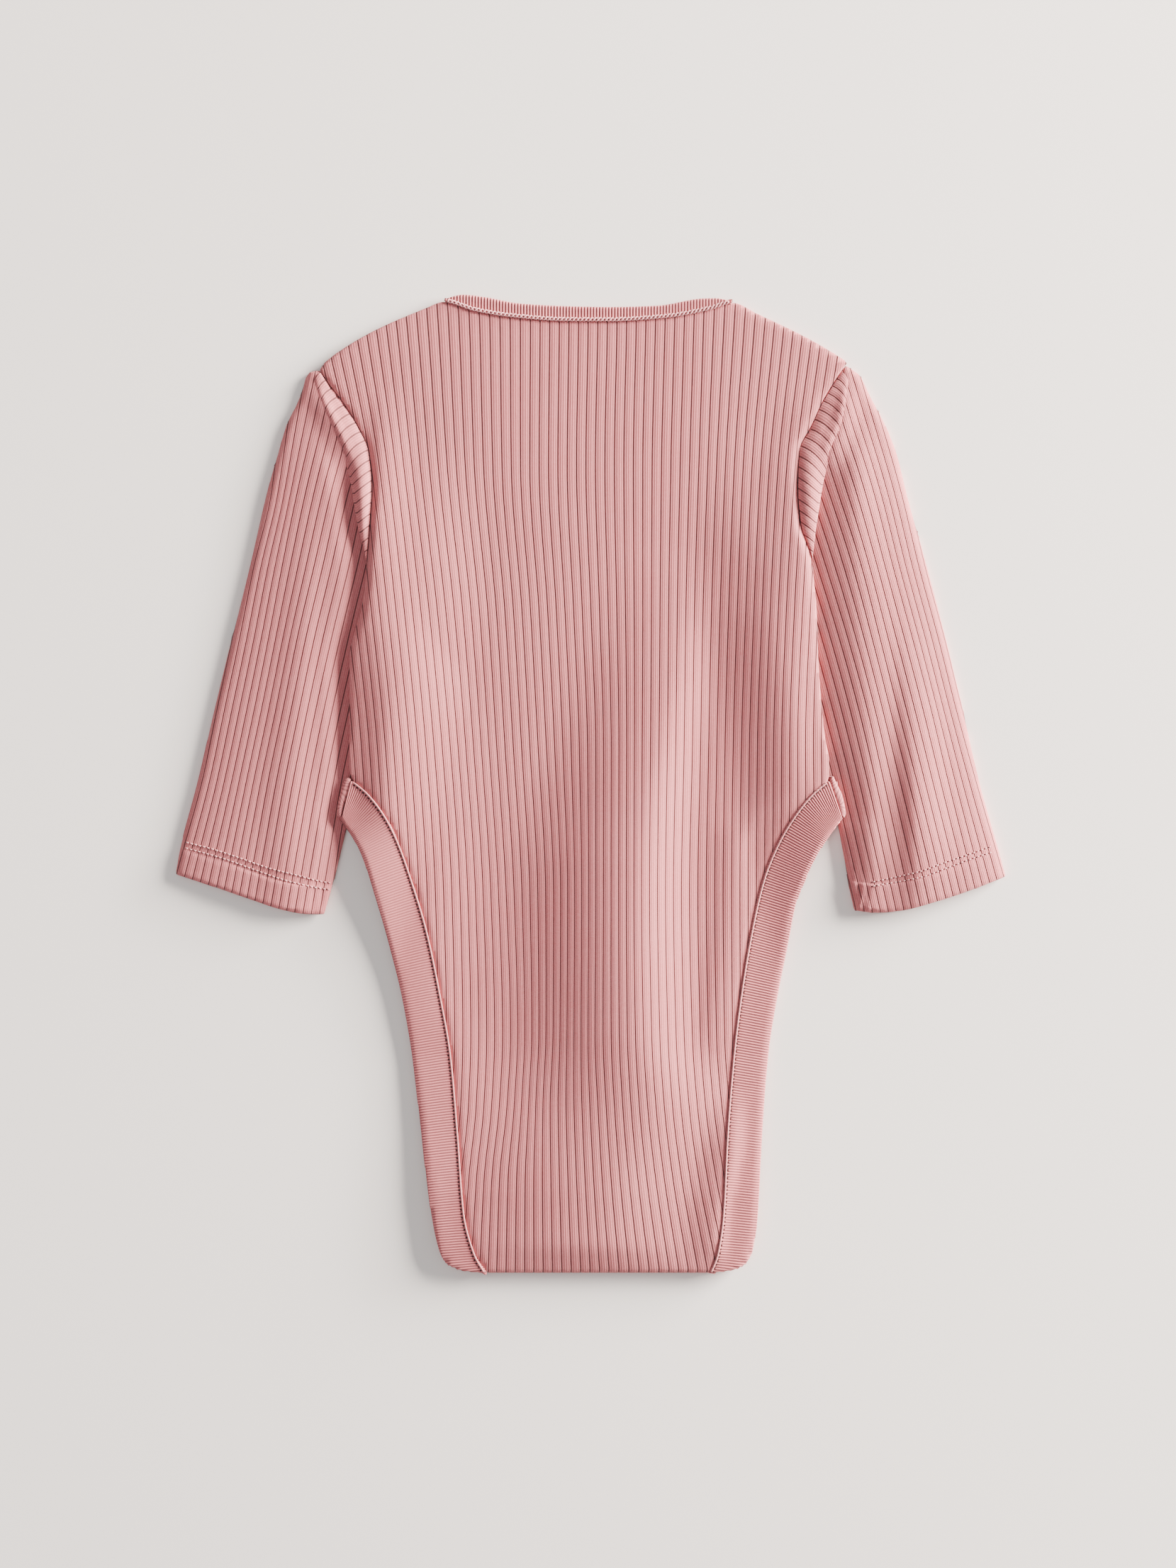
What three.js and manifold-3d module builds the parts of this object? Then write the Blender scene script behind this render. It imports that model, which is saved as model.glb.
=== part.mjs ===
// A long-sleeved baby bodysuit in ribbed knit, laid flat with its back up.
// Millimetres. The cloth lies on z = 0, +Y runs to the neck, -Y to the crotch, X across.
// Tables are read down the garment, each row a level or a fold, and smoothed in between.

import * as THREE from 'three';
import * as BufferGeometryUtils from 'three/addons/utils/BufferGeometryUtils.js';
import Module from 'manifold-3d';

const wasm = await Module();
wasm.setup();

// Cloth
const CLOTH = 1.3;
const GAP = 0.3;
const LAYER = CLOTH + GAP;
const HALF_GAP = GAP / 2;
const ROSE = { color: 0xd1a1a0, roughness: 0.92, metalness: 0 };
const INWARD = { left: 1, right: -1 };

// Wide rib of the panels: flat ribs parted by narrow grooves
const RIB_RISE = 0.45;
const GROOVE_HALF = 0.11;
const BACK_RIBS = { first: -32, last: 29 };
const SLEEVE_RIBS = { first: -1, last: 17 };

// Rib of the neck and leg bands, one raised rib for each two of the fine one-and-one knit
const FINE_RISE = 0.3;
const NECK_RIB_PITCH = 3;
const LEG_RIB_PITCH = 2.56;
const LEG_BAND_CLOTH = 1.6;
const NECK_BAND_CLOTH = 1.5;
const BAND_SHARES = [-0.15, 1.15];

// The body rises over the sleeves where they lie under its sides
const SLEEVE_LIFT = 3.8;
const LIFT_RUN = { start: 30, full: 5 };
const LIFT_TOP = { start: 121, full: 108 };
const INNER_REACH_Y = 84;

// The back tail turns under at the crotch and closes on the front with press studs
const CROTCH_Y = -234.2;
const FLAP_LENGTH = 31;
const FLAP_LOW = 0.9;
const TAIL_LIFT = FLAP_LOW + LAYER;
const TAIL_LIFT_RUN = { full: -196, start: -130 };
const FOLD_WALL = 1.6;
const FRONT_END_Y = CROTCH_Y + 3.2;
const STUD = {
  radius: 4.75,
  height: 0.6,
  rim: 0.25,
  inset: 11,
  sides: 16,
  places: [{ name: 'left', x: -32 }, { name: 'middle', x: 2 }, { name: 'right', x: 36 }],
};
const STUD_FINISH = { color: 0xc9a6a3, roughness: 0.4, metalness: 0.6 };

// Edges that roll down where the cloth turns over
const EDGE_ROLL = { drop: 0.5, run: 3.5 };

// Sleeves
const SLEEVE_FLOOR_WALL = 1.2;
const SLEEVE_HOLLOW = 0.4;
const SLEEVE_EDGE_WALL = 1.5;
const OPEN_END = 6;
const HEM = { depth: 14, rise: 0.5, step: 1 };
const HEM_MIDDLE_Y = -52;
const RIDGE = { rise: 3.2, top: 187, full: 158, low: 106, lowFull: 138 };
const STRIP = {
  high: 190,
  low: 108.2,
  pitch: 5,
  first: -2,
  slant: 0.85,
  shares: [-0.1, 0.5, 1.15],
};

// The front lies under the back: a deeper neckline, and bands that stay inside
const NECK_BAND_WIDTH = 8.2;
const FRONT_NECK = {
  middle: -0.6,
  power: 2.6,
  steps: 24,
  edge: { halfWidth: 61, rim: 234 },
  seam: { halfWidth: 69.4, rim: 231.4, low: 177 },
  joinX: 79,
  joinY: 227,
  peakX: { left: -61, right: 60 },
  peakWall: 2.5,
};
const FRONT_LEG_INSET = 3;
const FRONT_LEG_RUN = { full: -20, start: 6 };
const FRONT_BAND_INSET = 4;
const FRONT_BAND_RUN = { full: -30, start: -18 };
const HIP_END_HEIGHT = 3;

// Levels and corners that several pieces share
const SHOULDER_TIP = { left: { x: -130, y: 199 }, right: { x: 122, y: 202 } };
const ARMHOLE_LOW = 100;
const ARMHOLE_CLEAR = 14;
const HIP_Y = 5;
const HIP_SEAM_Y = 1.4;
const FOLD_FADE = 14;
const OVERLAP = 1;
const CLOSEST = 0.5;
const REACH = 800;
const TALL = 40;
const DEEP = -20;
const BELOW = -1;
const FLOOR_CUT = { scale: 1.013, depth: 0.05 };

// Side, armhole and leg seams of the back panel
const SIDES = [
  { y: 203, left: -132.5, right: 123.8 },
  { y: 191.5, left: -124.7, right: 116 },
  { y: 183, left: -118.2, right: 111.1 },
  { y: 172.8, left: -111.8, right: 106.5 },
  { y: 160.5, left: -106.5, right: 100.5 },
  { y: 142.1, left: -104.6, right: 99.6 },
  { y: 125.1, left: -105.5, right: 100.9 },
  { y: 108, left: -106.8, right: 106.2 },
  { y: 95.8, left: -107.9, right: 107.5 },
  { y: 83.5, left: -109.8, right: 108.6 },
  { y: 72.3, left: -113.2, right: 109 },
  { y: 62, left: -115.4, right: 109.3 },
  { y: 24.9, left: -115.4, right: 112.3 },
  { y: 8.5, left: -115.6, right: 114.9 },
  { y: 2.4, left: -113.8, right: 114.2 },
  { y: -4.4, left: -106.2, right: 106.3 },
  { y: -10.6, left: -101.7, right: 100.7 },
  { y: -20.8, left: -94.6, right: 93.8 },
  { y: -36.1, left: -89, right: 86.1 },
  { y: -52.8, left: -83.1, right: 80.8 },
  { y: -77.7, left: -76.4, right: 75.8 },
  { y: -101.6, left: -71.6, right: 72.1 },
  { y: -129.3, left: -66.8, right: 68.7 },
  { y: -169.1, left: -63.2, right: 65.4 },
  { y: -205.5, left: -60.3, right: 63.5 },
  { y: -224.6, left: -55.3, right: 60.8 },
  { y: -234.2, left: -49, right: 56.9 },
];

// Top edge of the back panel: shoulder, neck seam, shoulder
const TOP_EDGE = [
  { x: -132, y: 198.6 },
  { x: -122.2, y: 206.9 },
  { x: -104.1, y: 217.8 },
  { x: -79.2, y: 228.7 },
  { x: -70.2, y: 231.9 },
  { x: -55.4, y: 227.7 },
  { x: -38, y: 224.8 },
  { x: -11.4, y: 222.9 },
  { x: 9.4, y: 222.8 },
  { x: 36, y: 224.4 },
  { x: 57.4, y: 228.3 },
  { x: 68.6, y: 231.4 },
  { x: 79.9, y: 226.3 },
  { x: 105.8, y: 213.7 },
  { x: 125, y: 202.2 },
];

// Upper edge of the neck band between its two peaks
const NECK_TOP = [
  { x: -70.2, y: 232.4 },
  { x: -65.6, y: 234.5 },
  { x: -61.2, y: 235.3 },
  { x: -51, y: 234.2 },
  { x: -33.9, y: 231.1 },
  { x: -11.4, y: 229.8 },
  { x: 9.4, y: 229.4 },
  { x: 31.9, y: 230 },
  { x: 54.7, y: 233.5 },
  { x: 60.2, y: 233.6 },
  { x: 66.5, y: 232.4 },
  { x: 68.6, y: 231.9 },
];

// Outer edge of the leg bands, from the hip to the crotch fold
const BAND_EDGE = [
  { y: -17, left: -119.2, right: 119.6 },
  { y: -25.2, left: -113.6, right: 113.8 },
  { y: -35.6, left: -108.4, right: 107.6 },
  { y: -46, left: -105.1, right: 102.8 },
  { y: -59, left: -101.1, right: 98 },
  { y: -79.4, left: -95.6, right: 94.3 },
  { y: -99.9, left: -90.5, right: 90.2 },
  { y: -127.1, left: -85.7, right: 85.7 },
  { y: -154.4, left: -82.3, right: 83.3 },
  { y: -181.7, left: -79.2, right: 81.6 },
  { y: -208.9, left: -75.5, right: 79.9 },
  { y: -222.6, left: -72.4, right: 77.9 },
  { y: -229, left: -69.1, right: 74.8 },
  { y: -232.6, left: -62, right: 68.2 },
  { y: -234.2, left: -51, right: 58.9 },
];

// Rungs across each leg band, from its seam to its outer edge
const BAND_RUNGS = {
  left: [
    { seamX: -114.6, seamY: 2.6, outX: -119.6, outY: -19 },
    { seamX: -106.2, seamY: -4.4, outX: -117.4, outY: -20.5 },
    { seamX: -97.8, seamY: -15.5, outX: -113.6, outY: -26.2 },
    { seamX: -91.5, seamY: -28.5, outX: -109.4, outY: -36 },
    { seamX: -85.2, seamY: -46.6, outX: -104.4, outY: -53.5 },
    { seamX: -78.2, seamY: -70, outX: -98, outY: -75.5 },
    { seamX: -71.6, seamY: -101.6, outX: -91, outY: -105.5 },
    { seamX: -66.8, seamY: -129.3, outX: -86.5, outY: -132.5 },
    { seamX: -63.2, seamY: -169.1, outX: -82.5, outY: -171.5 },
    { seamX: -60.3, seamY: -205.5, outX: -79.5, outY: -207.5 },
    { seamX: -55.3, seamY: -224.6, outX: -77, outY: -226.5 },
    { seamX: -48.2, seamY: -237, outX: -76, outY: -241 },
  ],
  right: [
    { seamX: 114.4, seamY: 2.4, outX: 121.6, outY: -18.5 },
    { seamX: 106.3, seamY: -4.4, outX: 117.9, outY: -21.5 },
    { seamX: 97.5, seamY: -15.5, outX: 114, outY: -26.9 },
    { seamX: 90.4, seamY: -27.5, outX: 108.6, outY: -36.8 },
    { seamX: 83.3, seamY: -45, outX: 102, outY: -51.5 },
    { seamX: 77.8, seamY: -68, outX: 97.4, outY: -73.8 },
    { seamX: 72.1, seamY: -101.5, outX: 91, outY: -105.5 },
    { seamX: 68.7, seamY: -129.3, outX: 87, outY: -132.5 },
    { seamX: 65.4, seamY: -169.1, outX: 84, outY: -171.5 },
    { seamX: 63.5, seamY: -205.5, outX: 82.4, outY: -207.5 },
    { seamX: 60.8, seamY: -224.6, outX: 80.8, outY: -226.5 },
    { seamX: 56, seamY: -237, outX: 82, outY: -241 },
  ],
};

// Turned ends of the front leg bands, which stand out past the hip seams
const HIP_ENDS = {
  left: [
    { x: -114.3, y: 2.6 },
    { x: -117.3, y: 3.2 },
    { x: -118.8, y: -1 },
    { x: -120.3, y: -6.5 },
    { x: -121.5, y: -13.8 },
    { x: -120.6, y: -15.6 },
    { x: -119, y: -15 },
    { x: -117.8, y: -10.2 },
    { x: -115, y: -1.7 },
  ],
  right: [
    { x: 114.8, y: 2.4 },
    { x: 116.5, y: 4 },
    { x: 118.3, y: 0.3 },
    { x: 120.8, y: -5.1 },
    { x: 122.5, y: -13.6 },
    { x: 121.8, y: -15.8 },
    { x: 120, y: -14.4 },
    { x: 118.6, y: -10.2 },
    { x: 115.6, y: -1.7 },
  ],
  outerCount: 6,
};

// Sleeve edges: the outer fold, and the inner fold, which is partly under the body
const SLEEVE_OUTER = [
  { y: 197.7, left: -136, right: 129.2 },
  { y: 186.4, left: -139.2, right: 134.5 },
  { y: 172.8, left: -145.7, right: 141.6 },
  { y: 159.2, left: -149.8, right: 147.1 },
  { y: 138.7, left: -155.6, right: 152.2 },
  { y: 104.6, left: -163.4, right: 161.7 },
  { y: 70.6, left: -171.9, right: 170.6 },
  { y: 36.5, left: -180.3, right: 178.8 },
  { y: 2.4, left: -188.3, right: 186.6 },
  { y: -31.7, left: -197, right: 196.1 },
  { y: -43.2, left: -198.9, right: 199.2 },
];
const SLEEVE_INNER = [
  { y: 107, left: -106.5, right: 105.6 },
  { y: 102.9, left: -99.7, right: 99.4 },
  { y: 95.8, left: -94.2, right: 93.9 },
  { y: 84.2, left: -92.9, right: 93.2 },
  { y: 70.6, left: -94.2, right: 96.3 },
  { y: 36.5, left: -102.8, right: 105.1 },
  { y: 2.4, left: -111.3, right: 113.7 },
  { y: -20.1, left: -116.9, right: 119.3 },
  { y: -41.9, left: -122.2, right: 123.3 },
  { y: -60.4, left: -127.3, right: 126.8 },
];
const HEM_EDGE = {
  left: [
    { x: -199, y: -43 },
    { x: -180.1, y: -49.1 },
    { x: -163.8, y: -54.7 },
    { x: -146.4, y: -60.3 },
    { x: -136.8, y: -62 },
    { x: -127.4, y: -62.3 },
  ],
  right: [
    { x: 126.8, y: -60.2 },
    { x: 138.1, y: -61.4 },
    { x: 149.8, y: -60.3 },
    { x: 161.6, y: -57.3 },
    { x: 177.2, y: -52.5 },
    { x: 199.3, y: -44.2 },
  ],
};

// Fold edge where the strip beside the armhole seam turns over the sleeve
const RIDGE_EDGE = [
  { y: 190, left: -125.6, right: 116.6 },
  { y: 184, left: -125.4, right: 117.8 },
  { y: 174, left: -122.4, right: 118.2 },
  { y: 164.3, left: -118.4, right: 115.7 },
  { y: 152, left: -114.3, right: 111.4 },
  { y: 137, left: -112.4, right: 109.1 },
  { y: 122.2, left: -110.3, right: 107.5 },
  { y: 114.9, left: -108.6, right: 107 },
  { y: 108, left: -107.5, right: 106.5 },
];

// Groove lines of the back: x of every sixth groove, counted from the middle
const BACK_GROOVES = [
  { y: 213.7, x: [-116.7, -87.4, -57.8, -28.8, -1.2, 26.4, 54, 83, 110.6] },
  { y: 152.4, x: [-105.1, -81.6, -55.7, -29.1, -2.2, 25.1, 52, 77.5, 102.4] },
  { y: 84.2, x: [-97, -73.4, -49.3, -24.7, 0.2, 25.1, 49.9, 74.5, 97.6] },
  { y: 16, x: [-90.1, -67, -44.8, -21, 2.6, 24.7, 48.9, 72.4, 95.3] },
  { y: -52.1, x: [-86.1, -62.5, -40.4, -17.6, 2.6, 24.4, 47.5, 71.7, 95.6] },
  { y: -120.3, x: [-84.7, -61.2, -38.3, -17.9, 2.2, 25.4, 48.9, 72.1, 95.9] },
  { y: -154.4, x: [-86.7, -62.2, -40, -19.3, 3.6, 27.4, 51.3, 74.8, 98.7] },
  { y: -188.5, x: [-89.5, -65.6, -43.5, -18.9, 5.6, 31.2, 56.1, 80.9, 105.5] },
  { y: -229.4, x: [-92.9, -69, -44.8, -18.2, 8.7, 37.3, 64.6, 91.2, 117.1] },
];
const BACK_GROOVE_STEP = 6;
const BACK_GROOVE_FIRST = -24;

// Groove lines of the sleeves: x of every fourth groove, counted from the outer fold
const SLEEVE_GROOVES = {
  left: [
    { y: 172.8, x: [-149.1, -133.1, -115.4, -97, -79.2] },
    { y: 138.7, x: [-153.2, -140.9, -124.6, -108.2, -91.2] },
    { y: 104.6, x: [-161.4, -147.8, -132.4, -115.7, -99.7] },
    { y: 70.6, x: [-168.2, -154.2, -140.3, -123.9, -107.9] },
    { y: 36.5, x: [-175.4, -161, -147.1, -131.4, -115.7] },
    { y: 2.4, x: [-182.5, -168.2, -154.2, -138.2, -122.9] },
    { y: -31.7, x: [-191.4, -175.4, -160.4, -144.3, -128.7] },
  ],
  right: [
    { y: 172.8, x: [139.9, 125.6, 108.2, 89.8, 72.1] },
    { y: 138.7, x: [149.5, 136.2, 119.1, 102.1, 85] },
    { y: 104.6, x: [157.6, 145, 129.7, 113, 96.6] },
    { y: 70.6, x: [166.8, 154.2, 138.5, 123.2, 106.9] },
    { y: 36.5, x: [175.4, 163.1, 147.1, 132.4, 116.1] },
    { y: 2.4, x: [184.9, 171.3, 155.9, 140.3, 124.6] },
    { y: -31.7, x: [194.8, 179.8, 164.5, 147.8, 132.4] },
  ],
};
const SLEEVE_GROOVE_STEP = 4;
const SLEEVE_GROOVE_FIRST = 1;

// Soft folds: a ridge line, the reach of its slope on each side, and its height
const BACK_FOLDS = [
  { fromX: 33, fromY: 92, toX: 20, toY: 2, leftRun: 38, rightRun: 17, height: 2.9 },
  { fromX: 20, fromY: 2, toX: 13, toY: -83, leftRun: 36, rightRun: 16, height: 2.9 },
  { fromX: 13, fromY: -83, toX: -2, toY: -150, leftRun: 30, rightRun: 16, height: 2.2 },
  { fromX: 44, fromY: -112, toX: 18, toY: -205, leftRun: 18, rightRun: 22, height: 1.8 },
  { fromX: 72, fromY: -10, toX: 66, toY: -92, leftRun: 20, rightRun: 14, height: 1.5 },
  { fromX: -74, fromY: 20, toX: -66, toY: -60, leftRun: 14, rightRun: 20, height: 1.2 },
  { fromX: -101, fromY: 168, toX: -100, toY: 118, leftRun: 10, rightRun: 12, height: 1.8 },
  { fromX: 97, fromY: 166, toX: 97, toY: 118, leftRun: 12, rightRun: 10, height: 1.8 },
  { fromX: 30, fromY: 190, toX: 36, toY: 120, leftRun: 30, rightRun: 26, height: 1.2 },
];
const SLEEVE_FOLDS = {
  left: [
    { fromX: -146, fromY: 120, toX: -156, toY: 5, leftRun: 14, rightRun: 16, height: 1.6 },
    { fromX: -128, fromY: 158, toX: -136, toY: 118, leftRun: 9, rightRun: 8, height: 1.3 },
  ],
  right: [
    { fromX: 129, fromY: 55, toX: 140, toY: -30, leftRun: 8, rightRun: 9, height: 1.7 },
    { fromX: 160, fromY: 62, toX: 172, toY: -20, leftRun: 11, rightRun: 12, height: 1.6 },
    { fromX: 126, fromY: 160, toX: 134, toY: 120, leftRun: 8, rightRun: 9, height: 1.4 },
  ],
};
const REST_RELIEF = 0.3;

// Levels and columns at which the sheets are worked out, closer together where they rise
const BACK_ROWS = [
  -239, -196, -130, -80, -30, 0, 50, 108, 120, 152, 196, 238,
];
const BACK_COLUMNS = [
  -136, -116, -109, -102, -95, -88, -80, -71, -62, -46, -28, -12, 4, 20, 36, 50, 62, 71, 80, 88,
  95, 102, 109, 116, 136,
];
const FRONT_COLUMNS = [
  -136, -116, -109, -102, -95, -88, -80, -71, -62, 62, 71, 80, 88, 95, 102, 109, 116, 136,
];
const HEM_ROWS = [-4, 13, 14.2, 52, 100, 150, 200, 254];
const SLEEVE_PLAIN_RIBS = [-2, 0.6, 1.8, 5, 9, 13, 17, 23];

function smooth(low, high, value) {
  return THREE.MathUtils.smoothstep(value, low, high);
}

// Reads a column of a table at any level, on a curve with no overshoot.
function readTable(table, key, value, at) {
  const rising = table[0][key] < table[1][key];
  const rows = rising ? table : table.slice().reverse();
  const last = rows.length - 1;
  let row = rows.findIndex((entry) => entry[key] > at) - 1;
  if (row < 0) row = at <= rows[0][key] ? 0 : last - 1;
  const slopeAt = (k) => {
    const low = Math.max(k - 1, 0);
    const high = Math.min(k + 1, last);
    const before = (value(rows[k]) - value(rows[low])) / (rows[k][key] - rows[low][key] || 1);
    const after = (value(rows[high]) - value(rows[k])) / (rows[high][key] - rows[k][key] || 1);
    if (k === 0) return after;
    if (k === last) return before;
    return before * after <= 0 ? 0 : (2 * before * after) / (before + after);
  };
  const span = rows[row + 1][key] - rows[row][key];
  const t = (at - rows[row][key]) / span;
  const start = value(rows[row]);
  const end = value(rows[row + 1]);
  if (t < 0) return start + slopeAt(row) * span * t;
  if (t > 1) return end + slopeAt(row + 1) * span * (t - 1);
  const t2 = t * t;
  const t3 = t2 * t;
  return (2 * t3 - 3 * t2 + 1) * start + (t3 - 2 * t2 + t) * span * slopeAt(row)
    + (3 * t2 - 2 * t3) * end + (t3 - t2) * span * slopeAt(row + 1);
}

function sideX(table, side, y) {
  return readTable(table, 'y', (row) => row[side], y);
}

// A table's own places between two limits, with one more halfway between each two
function placesBetween(table, key, from, to) {
  const low = Math.min(from, to);
  const high = Math.max(from, to);
  const own = table.map((row) => row[key]).filter((at) => at > low + CLOSEST && at < high - CLOSEST);
  const ends = rising([low, ...own, high]);
  const all = ends.flatMap((at, k) => (k ? [(at + ends[k - 1]) / 2, at] : [at]));
  return from < to ? all : all.reverse();
}

function rising(places) {
  return places.slice().sort((a, b) => a - b);
}

// Points down or up a side table, moved across by shift.
function sideLine(table, side, from, to, shift = 0) {
  return placesBetween(table, 'y', from, to).map((y) => (
    new THREE.Vector2(sideX(table, side, y) + shift, y)
  ));
}

function curveY(table, x) {
  return readTable(table, 'x', (row) => row.y, x);
}

function topLine(table, from, to, shift = 0) {
  return placesBetween(table, 'x', from, to).map((x) => (
    new THREE.Vector2(x, curveY(table, x) + shift)
  ));
}

// Place of a groove, or a part of a rib between grooves, at a level
function grooveX(table, first, step, count, y) {
  const along = (count - first) / step;
  const last = table[0].x.length - 1;
  const low = THREE.MathUtils.clamp(Math.floor(along), 0, last - 1);
  const read = (k) => readTable(table, 'y', (row) => row.x[k], y);
  return THREE.MathUtils.lerp(read(low), read(low + 1), along - low);
}

// Height of the soft folds at a point, each fading out at both ends.
function foldHeight(folds, x, y) {
  let height = 0;
  for (const fold of folds) {
    const along = new THREE.Vector2(fold.toX - fold.fromX, fold.toY - fold.fromY);
    const length = along.length();
    along.divideScalar(length);
    const offset = new THREE.Vector2(x - fold.fromX, y - fold.fromY);
    const travel = offset.dot(along);
    const aside = offset.cross(along) * -1;
    const run = aside < 0 ? fold.rightRun : fold.leftRun;
    const fade = Math.max(fold.leftRun, fold.rightRun);
    const past = Math.max(-travel, travel - length, 0) / fade;
    const profile = Math.exp(-((aside / run) ** 2) - past ** 2);
    height = Math.max(height, fold.height * profile);
  }
  return height;
}

// Lift of the body's lowest layer over the sleeves at its sides
function sideLift(x, y) {
  const side = x < 0 ? 'left' : 'right';
  const level = Math.min(y, INNER_REACH_Y);
  const inner = Math.abs(sideX(SLEEVE_INNER, side, level));
  const across = smooth(inner - LIFT_RUN.start, inner - LIFT_RUN.full, Math.abs(x));
  const down = 1 - smooth(LIFT_TOP.full, LIFT_TOP.start, y);
  return SLEEVE_LIFT * across * down;
}

function tailLift(y) {
  const along = THREE.MathUtils.inverseLerp(TAIL_LIFT_RUN.start, TAIL_LIFT_RUN.full, y);
  return TAIL_LIFT * THREE.MathUtils.clamp(along, 0, 1);
}

function frontLow(x, y) {
  return Math.max(sideLift(x, y), tailLift(y));
}

// What is cut from below, a shade under the floor where the front lies on it
function belowFront(x, y) {
  return frontLow(x, y) * FLOOR_CUT.scale - FLOOR_CUT.depth;
}

// Outer limit of the body at each level: clear of the armholes, then sides, then leg bands
const BODY_EDGE = [
  ...SIDES.filter((row) => row.y > ARMHOLE_LOW).map((row) => (
    { y: row.y, left: row.left - ARMHOLE_CLEAR, right: row.right + ARMHOLE_CLEAR }
  )),
  ...SIDES.filter((row) => row.y < ARMHOLE_LOW && row.y > HIP_Y),
  ...BAND_EDGE,
];

function insideBody(x, y) {
  const side = x < 0 ? 'left' : 'right';
  const across = Math.abs(sideX(BODY_EDGE, side, y)) - Math.abs(x);
  return Math.min(across, curveY(TOP_EDGE, x) - y, y - CROTCH_Y);
}

function backLow(x, y) {
  const relief = foldHeight(BACK_FOLDS, x, y) * smooth(0, FOLD_FADE, insideBody(x, y));
  return frontLow(x, y) + LAYER + REST_RELIEF + relief;
}

// How far an upper face has rolled down at a distance inside its free edge
function edgeRoll(inside) {
  return EDGE_ROLL.drop * (1 - smooth(0, EDGE_ROLL.run, inside));
}

function backTop(x, y) {
  return backLow(x, y) + CLOTH - edgeRoll(insideBody(x, y));
}

function bandTop(x, y) {
  return frontLow(x, y) + LAYER + LEG_BAND_CLOTH - edgeRoll(insideBody(x, y));
}

// A closed solid from a three.js geometry, its faces turned out where its grid is mirrored
function solid(geometry) {
  geometry.deleteAttribute('normal');
  geometry.deleteAttribute('uv');
  const merged = BufferGeometryUtils.mergeVertices(geometry);
  const vertProperties = new Float32Array(merged.attributes.position.array);
  const triVerts = new Uint32Array(merged.index.array);
  const made = new wasm.Manifold(new wasm.Mesh({ numProp: 3, vertProperties, triVerts }));
  if (made.volume() > 0) return made;
  triVerts.reverse();
  return new wasm.Manifold(new wasm.Mesh({ numProp: 3, vertProperties, triVerts }));
}

// A block whose upper face passes through place(u, v) and whose lower face is flat
function block(us, vs, place, low) {
  const geometry = new THREE.BoxGeometry(1, 1, 1, us.length - 1, vs.length - 1, 1);
  const position = geometry.attributes.position;
  for (let k = 0; k < position.count; k += 1) {
    const column = Math.round((position.getX(k) + 0.5) * (us.length - 1));
    const row = Math.round((position.getY(k) + 0.5) * (vs.length - 1));
    const point = place(us[column], vs[row]);
    position.setXYZ(k, point.x, point.y, position.getZ(k) > 0 ? point.z : low);
  }
  return solid(geometry);
}

// A block with no ribs, under a height worked out at each level and column
function plainBlock(columns, height) {
  return block(columns, BACK_ROWS, (x, y) => ({ x, y, z: height(x, y) }), DEEP);
}

function prism(points, low, high = TALL) {
  const shape = new THREE.Shape(points);
  const geometry = new THREE.ExtrudeGeometry(shape, { depth: high - low, bevelEnabled: false });
  geometry.translate(0, 0, low);
  return solid(geometry);
}

// All that lies above the fold at the crotch
function clearOfFold() {
  const box = new THREE.BoxGeometry(REACH, REACH, REACH);
  box.translate(0, CROTCH_Y + FOLD_WALL + REACH / 2, 0);
  return solid(box);
}

// Columns of wide rib: each groove's floor with the rib edges beside it
function ribColumns({ first, last }) {
  const columns = [];
  for (let groove = first; groove <= last; groove += 1) {
    columns.push(groove - GROOVE_HALF, groove, groove + GROOVE_HALF);
  }
  return columns;
}

function ribHeight(count) {
  return Number.isInteger(count) ? 0 : RIB_RISE;
}

function backPanel() {
  const ribbed = block(ribColumns(BACK_RIBS), BACK_ROWS, (count, y) => {
    const x = grooveX(BACK_GROOVES, BACK_GROOVE_FIRST, BACK_GROOVE_STEP, count, y);
    return { x, y, z: backTop(x, y) + ribHeight(count) };
  }, BELOW);
  const outline = [
    ...sideLine(SIDES, 'left', SHOULDER_TIP.left.y, CROTCH_Y, HALF_GAP),
    ...sideLine(SIDES, 'right', CROTCH_Y, SHOULDER_TIP.right.y, -HALF_GAP),
    ...topLine(TOP_EDGE, SHOULDER_TIP.right.x, SHOULDER_TIP.left.x, -HALF_GAP).slice(1, -1),
  ];
  const flap = prism([
    ...sideLine(SIDES, 'left', CROTCH_Y, CROTCH_Y + FLAP_LENGTH, HALF_GAP),
    ...sideLine(SIDES, 'right', CROTCH_Y + FLAP_LENGTH, CROTCH_Y, -HALF_GAP),
  ], FLAP_LOW, FLAP_LOW + CLOTH);
  const under = plainBlock(BACK_COLUMNS, backLow).intersect(clearOfFold());
  return ribbed.intersect(prism(outline, FLAP_LOW)).subtract(under).add(flap);
}

// A line of the front neck, from the opening's edge (share 0) to the seam (share 1)
function frontNeckLine(share, shift = 0) {
  const half = THREE.MathUtils.lerp(FRONT_NECK.edge.halfWidth, FRONT_NECK.seam.halfWidth, share);
  const rim = THREE.MathUtils.lerp(FRONT_NECK.edge.rim, FRONT_NECK.seam.rim, share);
  const low = FRONT_NECK.seam.low + (1 - share) * NECK_BAND_WIDTH;
  return Array.from({ length: FRONT_NECK.steps + 1 }, (_, k) => {
    const across = THREE.MathUtils.lerp(1, -1, k / FRONT_NECK.steps);
    const y = low + (rim - low) * Math.abs(across) ** FRONT_NECK.power;
    return new THREE.Vector2(FRONT_NECK.middle + across * half, y + shift);
  });
}

// Front leg seam, which stays inside the back one below the hip
function frontLegX(side, y) {
  const share = 1 - smooth(FRONT_LEG_RUN.full, FRONT_LEG_RUN.start, y);
  return sideX(SIDES, side, y) + INWARD[side] * FRONT_LEG_INSET * share;
}

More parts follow.
